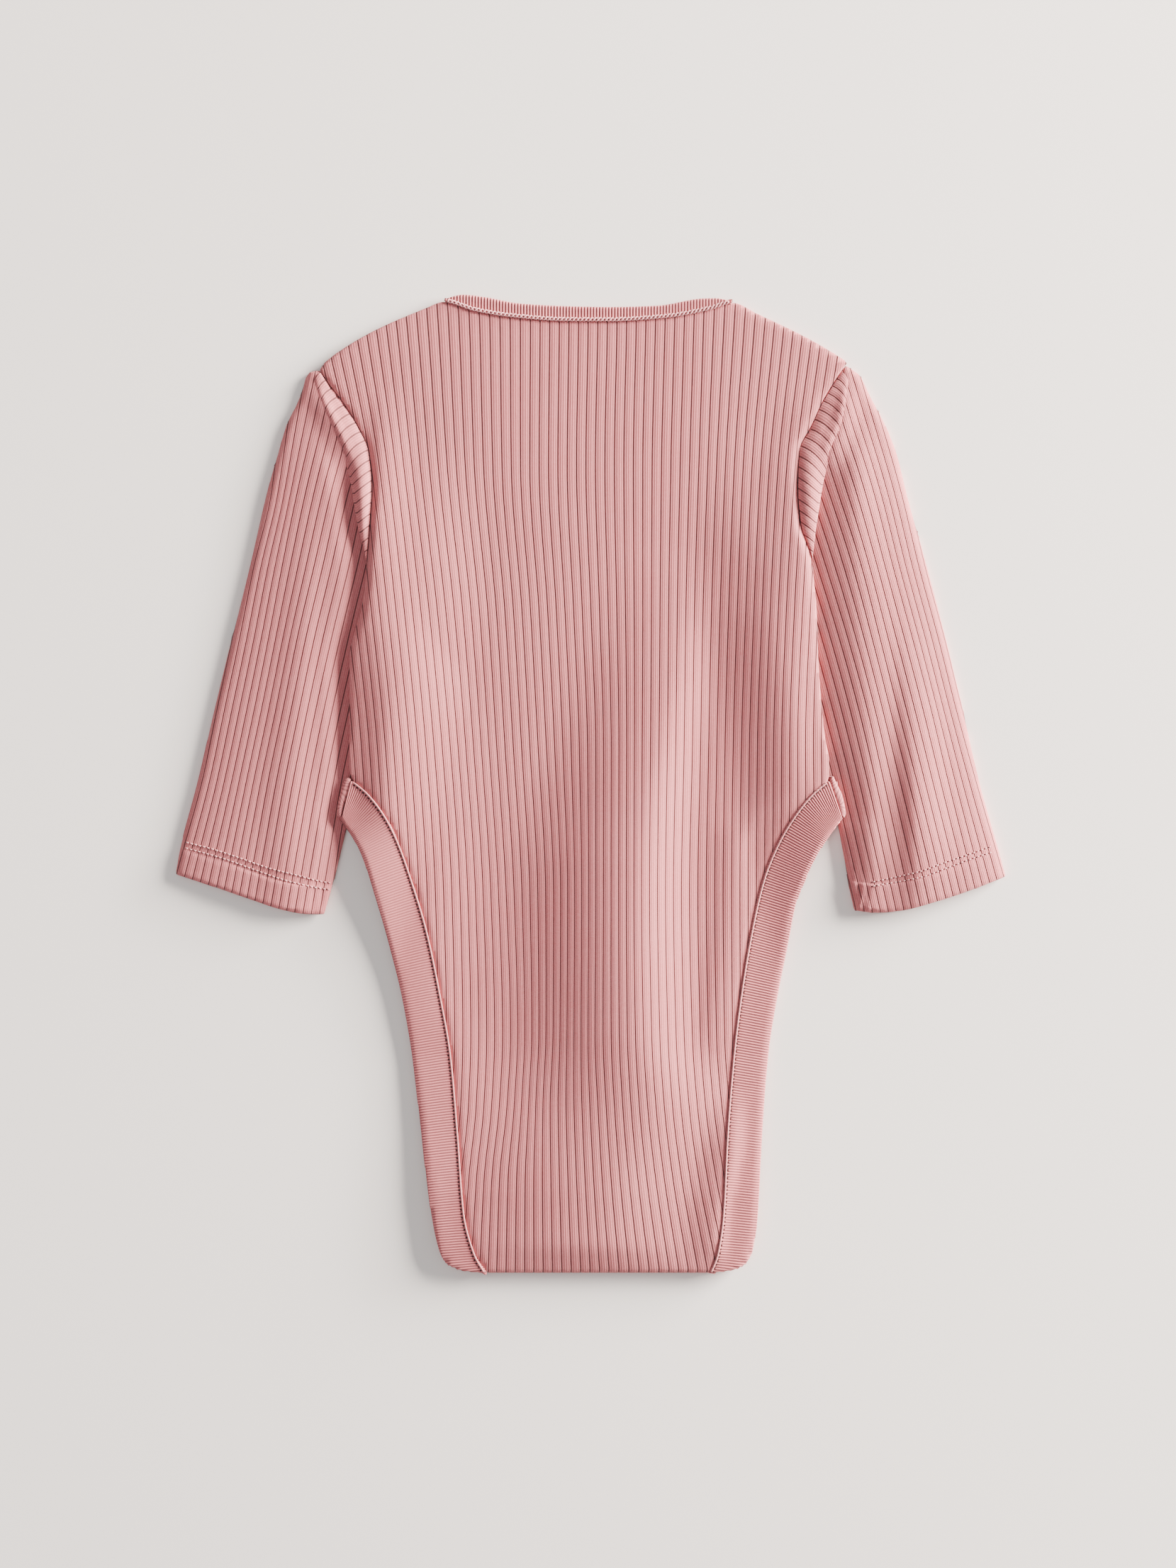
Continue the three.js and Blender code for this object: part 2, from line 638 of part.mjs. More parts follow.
function frontLegLine(side, from, to, shift) {
  return placesBetween(SIDES, 'y', from, to).map((y) => (
    new THREE.Vector2(frontLegX(side, y) + shift, y)
  ));
}

function frontPanel() {
  const neck = frontNeckLine(1, -HALF_GAP).filter((point) => point.y < FRONT_NECK.joinY);
  const outline = [
    ...frontLegLine('left', SHOULDER_TIP.left.y, FRONT_END_Y, HALF_GAP),
    ...frontLegLine('right', FRONT_END_Y, SHOULDER_TIP.right.y, -HALF_GAP),
    ...topLine(TOP_EDGE, SHOULDER_TIP.right.x, FRONT_NECK.joinX, -HALF_GAP).slice(1),
    ...neck,
    ...topLine(TOP_EDGE, -FRONT_NECK.joinX, SHOULDER_TIP.left.x, -HALF_GAP).slice(0, -1),
  ];
  const top = plainBlock(FRONT_COLUMNS, (x, y) => frontLow(x, y) + CLOTH);
  const under = plainBlock(FRONT_COLUMNS, belowFront);
  return top.intersect(prism(outline, 0)).subtract(under);
}

function backLegBand(side) {
  const rungs = BAND_RUNGS[side];
  const seam = new THREE.SplineCurve(rungs.map((r) => new THREE.Vector2(r.seamX, r.seamY)));
  const outer = new THREE.SplineCurve(rungs.map((r) => new THREE.Vector2(r.outX, r.outY)));
  const count = Math.round(seam.getLength() / LEG_RIB_PITCH) * 2;
  const stations = Array.from({ length: count + 1 }, (_, k) => k);
  const ribbed = block(BAND_SHARES, stations, (share, station) => {
    const t = station / count;
    const point = seam.getPoint(t).lerp(outer.getPoint(t), share);
    const crown = (station % 2) * FINE_RISE;
    return { x: point.x, y: point.y, z: bandTop(point.x, point.y) + crown };
  }, BELOW);
  const outward = -INWARD[side];
  const outline = prism([
    ...sideLine(SIDES, side, HIP_SEAM_Y, CROTCH_Y, outward * HALF_GAP),
    ...sideLine(BAND_EDGE, side, CROTCH_Y, BAND_EDGE[0].y),
  ], FLAP_LOW);
  const flap = prism([
    ...sideLine(SIDES, side, CROTCH_Y + OVERLAP, CROTCH_Y + FLAP_LENGTH, outward * HALF_GAP),
    ...sideLine(BAND_EDGE, side, CROTCH_Y + FLAP_LENGTH, CROTCH_Y + OVERLAP, INWARD[side]),
  ], FLAP_LOW, FLAP_LOW + CLOTH);
  const under = plainBlock(FRONT_COLUMNS, (x, y) => frontLow(x, y) + LAYER);
  return ribbed.intersect(outline).subtract(under.intersect(clearOfFold())).add(flap);
}

// The front band lies inside the back one, and its turned end stands out past the hip seam
function frontLegBand(side) {
  const hip = HIP_ENDS[side].map((point) => new THREE.Vector2(point.x, point.y));
  const inset = (y) => FRONT_BAND_INSET * (1 - smooth(FRONT_BAND_RUN.full, FRONT_BAND_RUN.start, y));
  const outer = sideLine(BAND_EDGE, side, FRONT_END_Y, BAND_EDGE[0].y - OVERLAP).map((point) => (
    point.setX(point.x + INWARD[side] * inset(point.y))
  ));
  const hipOuter = hip.slice(0, HIP_ENDS.outerCount).reverse();
  const strip = prism([
    ...frontLegLine(side, HIP_SEAM_Y, FRONT_END_Y, -INWARD[side] * HALF_GAP),
    ...outer,
    ...hipOuter,
  ], 0);
  const top = plainBlock(FRONT_COLUMNS, (x, y) => frontLow(x, y) + CLOTH);
  const turned = plainBlock(FRONT_COLUMNS, (x, y) => frontLow(x, y) + HIP_END_HEIGHT);
  const under = plainBlock(FRONT_COLUMNS, belowFront);
  return top.intersect(strip).add(turned.intersect(prism(hip, 0))).subtract(under);
}

// The neck band: ribbed across the back, plain under it at the front, joined at its two peaks
function neckBand() {
  const from = NECK_TOP[0].x;
  const to = NECK_TOP.at(-1).x;
  const count = Math.round((to - from) / NECK_RIB_PITCH) * 2;
  const stations = Array.from({ length: count + 1 }, (_, k) => k);
  const ribbed = block(stations, BAND_SHARES, (station, share) => {
    const x = THREE.MathUtils.lerp(from, to, station / count);
    const edge = curveY(NECK_TOP, x);
    const y = THREE.MathUtils.lerp(curveY(TOP_EDGE, x) - OVERLAP, edge + OVERLAP, share);
    const level = LAYER + REST_RELIEF + NECK_BAND_CLOTH - edgeRoll(Math.max(edge - y, 0));
    return { x, y, z: level + (station % 2) * FINE_RISE };
  }, BELOW);
  const back = prism([
    ...topLine(TOP_EDGE, from, to, HALF_GAP),
    ...topLine(NECK_TOP, to, from),
  ], LAYER);
  const front = prism([...frontNeckLine(0), ...frontNeckLine(1).reverse()], 0, CLOTH);
  const peaks = [[from, FRONT_NECK.peakX.left], [FRONT_NECK.peakX.right, to]].map(([low, high]) => (
    prism([
      ...topLine(NECK_TOP, low, high, -FRONT_NECK.peakWall).map((point) => (
        point.setY(Math.max(point.y, curveY(TOP_EDGE, point.x) + GAP))
      )),
      ...topLine(NECK_TOP, high, low),
    ], 0, LAYER + CLOTH)
  ));
  return ribbed.intersect(back).add(front).add(peaks[0]).add(peaks[1]);
}

function sleeveRelief(side, x, y) {
  const outer = Math.abs(sideX(SLEEVE_OUTER, side, y)) - Math.abs(x);
  const fromBody = Math.abs(x) - Math.abs(sideX(BODY_EDGE, side, y));
  const clear = y > BAND_EDGE[0].y && y < ARMHOLE_LOW ? smooth(0, FOLD_FADE, fromBody) : 1;
  return foldHeight(SLEEVE_FOLDS[side], x, y) * smooth(0, FOLD_FADE, outer) * clear;
}

function sleeveHollow(side, x, y) {
  return SLEEVE_FLOOR_WALL + SLEEVE_HOLLOW + sleeveRelief(side, x, y);
}

function sleeveTop(side, x, y) {
  const outer = Math.abs(sideX(SLEEVE_OUTER, side, y)) - Math.abs(x);
  const fromHem = y - curveY(HEM_EDGE[side], x);
  const hem = HEM.rise * (1 - smooth(HEM.depth - HEM.step, HEM.depth, fromHem));
  return sleeveHollow(side, x, y) + CLOTH + hem - edgeRoll(Math.max(outer, 0));
}

// Height of the fold edge over the armhole seam, fading out at the shoulder and the underarm
function ridgeRise(y) {
  return RIDGE.rise * (1 - smooth(RIDGE.full, RIDGE.top, y)) * smooth(RIDGE.low, RIDGE.lowFull, y);
}

// The sleeve's outline, its edges moved in and its two open ends moved past
function sleeveOutline(side, inset, past) {
  const inward = INWARD[side] * inset;
  const hem = HEM_EDGE[side].map((point) => new THREE.Vector2(point.x, point.y - past));
  if (side === 'right') hem.reverse();
  const seamShift = INWARD[side] * (past - HALF_GAP);
  return [
    ...sideLine(SLEEVE_OUTER, side, SLEEVE_OUTER[0].y - inset, SLEEVE_OUTER.at(-1).y - past, inward),
    ...hem.slice(1, -1),
    ...sideLine(SLEEVE_INNER, side, SLEEVE_INNER.at(-1).y - past, SLEEVE_INNER[0].y, -inward),
    ...sideLine(SIDES, side, SLEEVE_INNER[0].y + OVERLAP, SHOULDER_TIP[side].y - inset, seamShift),
  ];
}

// The strip beside the armhole: its ribs run across it, from the seam up to the fold edge
function armholeStrip(side) {
  const ribs = Math.round((STRIP.high - STRIP.low) / STRIP.pitch);
  const across = block(STRIP.shares, ribColumns({ first: STRIP.first, last: ribs }), (share, count) => {
    const y = THREE.MathUtils.lerp(STRIP.high, STRIP.low, count / ribs);
    const seam = new THREE.Vector2(sideX(SIDES, side, y), y);
    const width = Math.abs(sideX(RIDGE_EDGE, side, y) - seam.x);
    const foldY = y - STRIP.slant * width;
    const fold = new THREE.Vector2(sideX(RIDGE_EDGE, side, foldY), foldY);
    const level = backTop(seam.x, y) + ridgeRise(y) * smooth(0, 1, share);
    const point = seam.lerp(fold, share);
    return { x: point.x, y: point.y, z: level + ribHeight(count) };
  }, BELOW);
  const outline = prism([
    ...sideLine(SIDES, side, STRIP.high, STRIP.low, -INWARD[side] * HALF_GAP),
    ...sideLine(RIDGE_EDGE, side, STRIP.low, STRIP.high),
  ], CLOTH);
  return across.intersect(outline);
}

// A flattened tube: ribbed above, flat on the floor, open at the cuff and the armhole
function sleeve(side) {
  const grooves = SLEEVE_GROOVES[side];
  const lineX = (count, y) => grooveX(grooves, SLEEVE_GROOVE_FIRST, SLEEVE_GROOVE_STEP, count, y);
  const sheet = (counts, height, low) => block(counts, HEM_ROWS, (count, rise) => {
    const y = curveY(HEM_EDGE[side], lineX(count, HEM_MIDDLE_Y)) + rise;
    const x = lineX(count, y);
    return { x, y, z: height(x, y, count) };
  }, low);
  const ribbed = sheet(
    [...ribColumns(SLEEVE_RIBS), SLEEVE_PLAIN_RIBS.at(-1)],
    (x, y, count) => sleeveTop(side, x, y) + ribHeight(count),
    BELOW,
  );
  const hollow = sheet(SLEEVE_PLAIN_RIBS, (x, y) => sleeveHollow(side, x, y), DEEP);
  const cavity = hollow.intersect(
    prism(sleeveOutline(side, SLEEVE_EDGE_WALL, OPEN_END), SLEEVE_FLOOR_WALL),
  );
  return ribbed.intersect(prism(sleeveOutline(side, 0, 0), 0))
    .add(armholeStrip(side))
    .subtract(cavity);
}

// A press stud's cap, under the flap: a low disc with a rounded rim
function pressStud(x) {
  const profile = [
    new THREE.Vector2(0, 0),
    new THREE.Vector2(STUD.radius - STUD.rim, 0),
    new THREE.Vector2(STUD.radius, STUD.rim),
    new THREE.Vector2(STUD.radius, STUD.height),
    new THREE.Vector2(0, STUD.height),
  ];
  const cap = new THREE.LatheGeometry(profile, STUD.sides);
  cap.rotateX(Math.PI / 2);
  cap.translate(x, CROTCH_Y + FLAP_LENGTH - STUD.inset, 0);
  return solid(cap);
}

const group = new THREE.Group();

function addNode(name, body, finish = ROSE) {
  const { vertProperties, triVerts } = body.getMesh();
  const geometry = new THREE.BufferGeometry();
  geometry.setAttribute('position', new THREE.BufferAttribute(vertProperties, 3));
  geometry.setIndex(new THREE.BufferAttribute(triVerts, 1));
  geometry.computeVertexNormals();
  const node = new THREE.Mesh(geometry, new THREE.MeshStandardMaterial(finish));
  node.name = name;
  group.add(node);
}

addNode('back_panel', backPanel());
addNode('front_panel', frontPanel());
addNode('neck_band', neckBand());
for (const side of ['left', 'right']) {
  addNode(`sleeve_${side}`, sleeve(side));
  addNode(`leg_band_back_${side}`, backLegBand(side));
  addNode(`leg_band_front_${side}`, frontLegBand(side));
}
STUD.places.forEach(({ name, x }) => addNode(`press_stud_${name}`, pressStud(x), STUD_FINISH));

export default group;
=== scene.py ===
"""A long-sleeved baby bodysuit in ribbed knit, laid flat with its back up, on a pale floor.

Tables and sizes are in millimetres and meshes in metres. +Y runs to the neck, X across, Z up.
"""

import logging
import math
from collections.abc import Sequence
from dataclasses import dataclass, field
from enum import Enum

import bmesh
import bpy
import numpy as np
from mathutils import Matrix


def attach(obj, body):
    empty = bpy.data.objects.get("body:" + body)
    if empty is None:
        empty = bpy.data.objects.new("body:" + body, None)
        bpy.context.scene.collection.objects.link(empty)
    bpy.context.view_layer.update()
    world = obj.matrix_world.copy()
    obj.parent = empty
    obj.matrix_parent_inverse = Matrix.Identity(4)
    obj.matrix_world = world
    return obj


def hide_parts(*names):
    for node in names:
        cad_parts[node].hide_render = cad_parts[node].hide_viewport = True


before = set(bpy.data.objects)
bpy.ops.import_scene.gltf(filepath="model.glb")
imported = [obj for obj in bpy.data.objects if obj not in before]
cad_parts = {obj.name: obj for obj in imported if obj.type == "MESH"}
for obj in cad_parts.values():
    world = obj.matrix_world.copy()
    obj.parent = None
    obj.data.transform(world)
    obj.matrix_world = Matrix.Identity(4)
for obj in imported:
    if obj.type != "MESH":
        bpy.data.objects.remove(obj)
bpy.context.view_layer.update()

LOG = logging.getLogger("bodysuit")
MM = 0.001
MERGE = 1e-7  # metres between points that are one
TINY = 1e-9  # a length taken for none

CLOTH = 1.3  # one layer of knit
GAP = 0.3  # between neighbouring pieces, so that they stay clear
HALF_GAP = GAP / 2
LAYER = CLOTH + GAP
REST_RELIEF = 0.3  # air between the front and the back
FLOOR_CLEAR = 0.02  # the cloth's least height over the floor
RIB_RISE = 0.18  # a wide rib's top over its grooves
BACK_RIBS = (-32, 29)  # the body's first and last groove, counted from its middle

CROTCH_Y = -234.2
HIP_Y = 1.4  # upper end of the leg bands
FRONT_END = CROTCH_Y + 3.2  # lower end of the front
FRONT_INSET = 3.0  # the front's leg line inside the back's
FRONT_RUN = (-20.0, 6.0)  # levels between which it comes to nothing
ARMHOLE_Y = 107.5  # foot of the armholes
HIDDEN_RIB = 0.1  # half the height of the bands' ribs where they are hidden
FLAP_LOW = 0.9  # underside of the turned flap, over the studs' caps
FLAP_LENGTH = 31.0
TAIL_LIFT = FLAP_LOW + LAYER


class Side(Enum):
    """The side of the garment as it lies, and its sign in X."""

    LEFT = -1
    RIGHT = 1

    @property
    def word(self) -> str:
        """The side's name in piece names."""
        return self.name.lower()

    @property
    def index(self) -> int:
        """The side's place in a pair of values, left first."""
        return (self.value + 1) // 2


class Curve:
    """A smooth line through a short table, with no overshoot, straight past its ends."""

    def __init__(self, at: Sequence[float], value: Sequence[float]) -> None:
        """Sorts the table and works out its slopes.

        Args:
            at: Places along the line.
            value: The line's value at each place.
        """
        order = np.argsort(at)
        self.at = np.asarray(at, float)[order]
        self.value = np.asarray(value, float)[order]
        rise = np.diff(self.value) / np.diff(self.at)
        product = rise[:-1] * rise[1:]
        total = np.where(product > 0, rise[:-1] + rise[1:], 1.0)
        inner = np.where(product > 0, 2 * product / total, 0.0)
        self.slope = np.concatenate([[rise[0]], inner, [rise[-1]]])

    def __call__(self, at: np.ndarray | float) -> np.ndarray:
        """Reads the line.

        Args:
            at: Places along the line.

        Returns:
            The line's value at each place.
        """
        at = np.asarray(at, float)
        row = np.clip(np.searchsorted(self.at, at, side="right") - 1, 0, len(self.at) - 2)
        span = self.at[row + 1] - self.at[row]
        share = (at - self.at[row]) / span
        t = np.clip(share, 0, 1)
        value = (
            (2 * t**3 - 3 * t**2 + 1) * self.value[row]
            + (t**3 - 2 * t**2 + t) * span * self.slope[row]
            + (3 * t**2 - 2 * t**3) * self.value[row + 1]
            + (t**3 - t**2) * span * self.slope[row + 1]
        )
        end = np.where(share > 1, self.slope[row + 1], self.slope[row])
        return value + (share - t) * span * end


@dataclass(frozen=True)
class Fold:
    """A soft fold that runs down the cloth, by rows from its foot to its head.

    Each row is a level, the crest's x, the reach of its left and right slopes, and its height.
    """

    rows: tuple[tuple[float, float, float, float, float], ...]

    def rise(self, x: np.ndarray, y: np.ndarray) -> np.ndarray:
        """Works out the fold's height.

        Args:
            x: Places across.
            y: Places along.

        Returns:
            The height at each place, in millimetres.
        """
        levels, *tracks = zip(*self.rows)
        crest, left, right, height = (Curve(levels, track)(y) for track in tracks)
        aside = x - crest
        reach = np.clip(np.abs(aside) / np.where(aside < 0, left, right), 0, 1)
        within = (y > levels[0]) & (y < levels[-1])
        return np.where(within, height, 0) * (0.5 + 0.5 * np.cos(math.pi * reach))


def fold_height(folds: Sequence[Fold], x: np.ndarray, y: np.ndarray) -> np.ndarray:
    """Gives the height of several soft folds together at each place."""
    return sum((fold.rise(x, y) for fold in folds), np.zeros(np.broadcast(x, y).shape))


@dataclass(frozen=True)
class Grooves:
    """Groove lines of ribbed cloth.

    Each row is a level, then x at the first numbered groove and at every step-th after it.
    """

    first: int
    step: int
    rows: tuple[tuple[float, tuple[float, ...]], ...]

    def across(self, counts: np.ndarray, levels: np.ndarray) -> np.ndarray:
        """Places ribs across at each level.

        Args:
            counts: Groove numbers, whole at a groove.
            levels: Levels, one for each count, of the same shape.

        Returns:
            X at each count and level.
        """
        rows, tables = zip(*self.rows)
        columns = np.stack([Curve(rows, column)(levels) for column in zip(*tables)])
        along = (counts - self.first) / self.step
        low = np.clip(np.floor(along).astype(int), 0, len(columns) - 2)
        start = np.take_along_axis(columns, low[None], 0)[0]
        end = np.take_along_axis(columns, low[None] + 1, 0)[0]
        return start + (end - start) * (along - low)


def smooth(low: float | np.ndarray, high: float | np.ndarray, value: np.ndarray) -> np.ndarray:
    """Eases from 0 at low to 1 at high."""
    t = np.clip((value - low) / (high - low), 0, 1)
    return t * t * (3 - 2 * t)


def pair(rows: Sequence[tuple[float, float, float]]) -> dict[Side, Curve]:
    """Makes the left and right lines of a table of level, left x, right x."""
    levels, left, right = zip(*rows)
    return {Side.LEFT: Curve(levels, left), Side.RIGHT: Curve(levels, right)}


def line(rows: Sequence[tuple[float, float]]) -> Curve:
    """Makes the line of a table of x, y."""
    across, along = zip(*rows)
    return Curve(across, along)


# Side, armhole and leg seams of the back: level, left, right
SIDES = pair(
    [
        (203, -132.5, 123.8), (191.5, -124.7, 116), (183, -118.2, 111.1),
        (172.8, -111.8, 106.5), (160.5, -106.5, 100.5), (142.1, -104.6, 99.6),
        (125.1, -105.5, 100.9), (108, -106.8, 106.2), (95.8, -107.9, 107.5),
        (83.5, -109.8, 108.6), (72.3, -113.2, 109), (62, -115.4, 109.3),
        (24.9, -115.4, 112.3), (8.5, -115.6, 114.9), (2.4, -113.8, 114.2),
        (-4.4, -106.2, 106.3), (-10.6, -101.7, 100.7), (-20.8, -94.6, 93.8),
        (-36.1, -89, 86.1), (-52.8, -83.1, 80.8), (-77.7, -76.4, 75.8),
        (-101.6, -71.6, 72.1), (-129.3, -66.8, 68.7), (-169.1, -63.2, 65.4),
        (-205.5, -60.3, 63.5), (-224.6, -55.3, 60.8), (-234.2, -49, 56.9),
    ]
)

# Top edge of the back: shoulder, neck seam, shoulder
TOP_EDGE = line(
    [
        (-132, 198.6), (-122.2, 206.9), (-104.1, 217.8), (-79.2, 228.7), (-70.2, 231.9),
        (-55.4, 227.7), (-38, 224.8), (-11.4, 222.9), (9.4, 222.8), (36, 224.4),
        (57.4, 228.3), (68.6, 231.4), (79.9, 226.3), (105.8, 213.7), (125, 202.2),
    ]
)

# Upper edge of the neck band between its two peaks
NECK_TOP = line(
    [
        (-70.2, 232.4), (-65.6, 234.5), (-61.2, 235.3), (-51, 234.2), (-33.9, 231.1),
        (-11.4, 229.8), (9.4, 229.4), (31.9, 230), (54.7, 233.5), (60.2, 233.6),
        (66.5, 232.4), (68.6, 231.9),
    ]
)

# Outer edge of the leg bands, from the hip to the crotch fold
BAND_EDGE = pair(
    [
        (-17, -119.2, 119.6), (-25.2, -113.6, 113.8), (-35.6, -108.4, 107.6),
        (-46, -105.1, 102.8), (-59, -101.1, 98), (-79.4, -95.6, 94.3), (-99.9, -90.5, 90.2),
        (-127.1, -85.7, 85.7), (-154.4, -82.3, 83.3), (-181.7, -79.2, 81.6),
        (-208.9, -75.5, 79.9), (-222.6, -72.4, 77.9), (-229, -69.1, 74.8),
        (-232.6, -62, 68.2), (-234.2, -51, 58.9),
    ]
)

# Outer limit of the body: clear of the armholes, then its sides, then the leg bands
BODY_EDGE = pair(
    [
        (203, -146.5, 137.8), (191.5, -138.7, 130), (183, -132.2, 125.1),
        (172.8, -125.8, 120.5), (160.5, -120.5, 114.5), (142.1, -118.6, 113.6),
        (125.1, -119.5, 114.9), (108, -120.8, 120.2), (95.8, -107.9, 107.5),
        (83.5, -109.8, 108.6), (72.3, -113.2, 109), (62, -115.4, 109.3),
        (24.9, -115.4, 112.3), (8.5, -115.6, 114.9), (-17, -119.2, 119.6),
        (-25.2, -113.6, 113.8), (-35.6, -108.4, 107.6), (-46, -105.1, 102.8),
        (-59, -101.1, 98), (-79.4, -95.6, 94.3), (-99.9, -90.5, 90.2),
        (-127.1, -85.7, 85.7), (-154.4, -82.3, 83.3), (-181.7, -79.2, 81.6),
        (-208.9, -75.5, 79.9), (-222.6, -72.4, 77.9), (-229, -69.1, 74.8),
        (-232.6, -62, 68.2), (-234.2, -51, 58.9),
    ]
)

# Rungs across each leg band: seam x, seam y, outer x, outer y
BAND_RUNGS = {
    Side.LEFT: (
        (-114.6, 2.6, -119.6, -19), (-106.2, -4.4, -117.4, -20.5), (-97.8, -15.5, -113.6, -26.2),
        (-91.5, -28.5, -109.4, -36), (-85.2, -46.6, -104.4, -53.5), (-78.2, -70, -98, -75.5),
        (-71.6, -101.6, -91, -105.5), (-66.8, -129.3, -86.5, -132.5),
        (-63.2, -169.1, -82.5, -171.5), (-60.3, -205.5, -79.5, -207.5),
        (-55.3, -224.6, -77, -226.5), (-48.2, -237, -76, -241),
    ),
    Side.RIGHT: (
        (114.4, 2.4, 121.6, -18.5), (106.3, -4.4, 117.9, -21.5), (97.5, -15.5, 114, -26.9),
        (90.4, -27.5, 108.6, -36.8), (83.3, -45, 102, -51.5), (77.8, -68, 97.4, -73.8),
        (72.1, -101.5, 91, -105.5), (68.7, -129.3, 87, -132.5), (65.4, -169.1, 84, -171.5),
        (63.5, -205.5, 82.4, -207.5), (60.8, -224.6, 80.8, -226.5), (56, -237, 82, -241),
    ),
}

# Turned ends of the front leg bands, past the hip seams
HIP_ENDS = {
    Side.LEFT: (
        (-114.3, 2.6), (-117.3, 3.2), (-118.8, -1), (-120.3, -6.5), (-121.5, -13.8),
        (-120.6, -15.6), (-119, -15), (-117.8, -10.2), (-115, -1.7),
    ),
    Side.RIGHT: (
        (114.8, 2.4), (116.5, 4), (118.3, 0.3), (120.8, -5.1), (122.5, -13.6),
        (121.8, -15.8), (120, -14.4), (118.6, -10.2), (115.6, -1.7),
    ),
}

# Sleeve edges: outer fold and inner fold by level, left, right, then the hems
SLEEVE_OUTER = pair(
    [
        (197.7, -136, 129.2), (186.4, -139.2, 134.5), (172.8, -145.7, 141.6),
        (159.2, -149.8, 147.1), (138.7, -155.6, 152.2), (104.6, -163.4, 161.7),
        (70.6, -171.9, 170.6), (36.5, -180.3, 178.8), (2.4, -188.3, 186.6),
        (-31.7, -197, 196.1), (-43.2, -198.9, 199.2),
    ]
)
SLEEVE_INNER = pair(
    [
        (107, -106.5, 105.6), (102.9, -99.7, 99.4), (95.8, -94.2, 93.9), (84.2, -92.9, 93.2),
        (70.6, -94.2, 96.3), (36.5, -102.8, 105.1), (2.4, -111.3, 113.7),
        (-20.1, -116.9, 119.3), (-41.9, -122.2, 123.3), (-60.4, -127.3, 126.8),
    ]
)
HEM_LEVEL = -52.0  # the hems' middle level
HEM_EDGE = {
    Side.LEFT: line(
        [
            (-199, -43), (-180.1, -49.1), (-163.8, -54.7), (-146.4, -60.3), (-136.8, -62),
            (-127.4, -62.3),
        ]
    ),
    Side.RIGHT: line(
        [
            (126.8, -60.2), (138.1, -61.4), (149.8, -60.3), (161.6, -57.3), (177.2, -52.5),
            (199.3, -44.2),
        ]
    ),
}

# Rows of stitches that hold the sleeve hems
HEM_ROWS = {
    Side.LEFT: (
        line(
            [
                (-194.1, -27.6), (-180.1, -31.2), (-167.2, -35.4), (-153.2, -40.2),
                (-140.9, -43.3), (-130.7, -46), (-123.6, -47.4),
            ]
        ),
        line(
            [
                (-194.4, -30.3), (-175.9, -35.4), (-160.4, -40.9), (-146.4, -45.7),
                (-132.4, -49.1), (-124.2, -50.5),
            ]
        ),
    ),
    Side.RIGHT: (
        line([(193.7, -29.1), (183.5, -32.7), (169.4, -37.4), (157.6, -41.6), (135, -46.7)]),
        line([(194.4, -31.9), (184.2, -35), (170.2, -40.1), (158.3, -44.3), (135, -48.7)]),
    ),
}

# Fold edges of the strips beside the armholes: level, left, right
RIDGE_EDGE = pair(
    [
        (203, -133.5, 124.8), (193, -131, 123), (184, -127.6, 122), (174, -123.2, 120),
        (164.3, -118.8, 115.9), (152, -115, 112), (137, -112.4, 109.3),
        (122.2, -110.3, 107.5), (114.9, -108.6, 107), (108, -107.5, 106.5),
    ]
)

# Groove lines of the back, counted from its middle
BACK_GROOVES = Grooves(
    -24,
    6,
    (
        (213.7, (-116.7, -87.4, -57.8, -28.8, -1.2, 26.4, 54, 83, 110.6)),
        (152.4, (-105.1, -81.6, -55.7, -29.1, -2.2, 25.1, 52, 77.5, 102.4)),
        (84.2, (-97, -73.4, -49.3, -24.7, 0.2, 25.1, 49.9, 74.5, 97.6)),
        (16, (-90.1, -67, -44.8, -21, 2.6, 24.7, 48.9, 72.4, 95.3)),
        (-52.1, (-86.1, -62.5, -40.4, -17.6, 2.6, 24.4, 47.5, 71.7, 95.6)),
        (-120.3, (-84.7, -61.2, -38.3, -17.9, 2.2, 25.4, 48.9, 72.1, 95.9)),
        (-154.4, (-86.7, -62.2, -40, -19.3, 3.6, 27.4, 51.3, 74.8, 98.7)),
        (-188.5, (-89.5, -65.6, -43.5, -18.9, 5.6, 31.2, 56.1, 80.9, 105.5)),
        (-229.4, (-92.9, -69, -44.8, -18.2, 8.7, 37.3, 64.6, 91.2, 117.1)),
    ),
)

# Groove lines of the sleeves, counted from the outer fold
SLEEVE_GROOVES = {
    Side.LEFT: Grooves(
        1,
        4,
        (
            (172.8, (-149.1, -133.1, -115.4, -97, -79.2)),
            (138.7, (-153.2, -140.9, -124.6, -108.2, -91.2)),
            (104.6, (-161.4, -147.8, -132.4, -115.7, -99.7)),
            (70.6, (-168.2, -154.2, -140.3, -123.9, -107.9)),
            (36.5, (-175.4, -161, -147.1, -131.4, -115.7)),
            (2.4, (-182.5, -168.2, -154.2, -138.2, -122.9)),
            (-31.7, (-191.4, -175.4, -160.4, -144.3, -128.7)),
        ),
    ),
    Side.RIGHT: Grooves(
        1,
        4,
        (
            (172.8, (139.9, 125.6, 108.2, 89.8, 72.1)),
            (138.7, (149.5, 136.2, 119.1, 102.1, 85)),
            (104.6, (157.6, 145, 129.7, 113, 96.6)),
            (70.6, (166.8, 154.2, 138.5, 123.2, 106.9)),
            (36.5, (175.4, 163.1, 147.1, 132.4, 116.1)),
            (2.4, (184.9, 171.3, 155.9, 140.3, 124.6)),
            (-31.7, (194.8, 179.8, 164.5, 147.8, 132.4)),
        ),
    ),
}

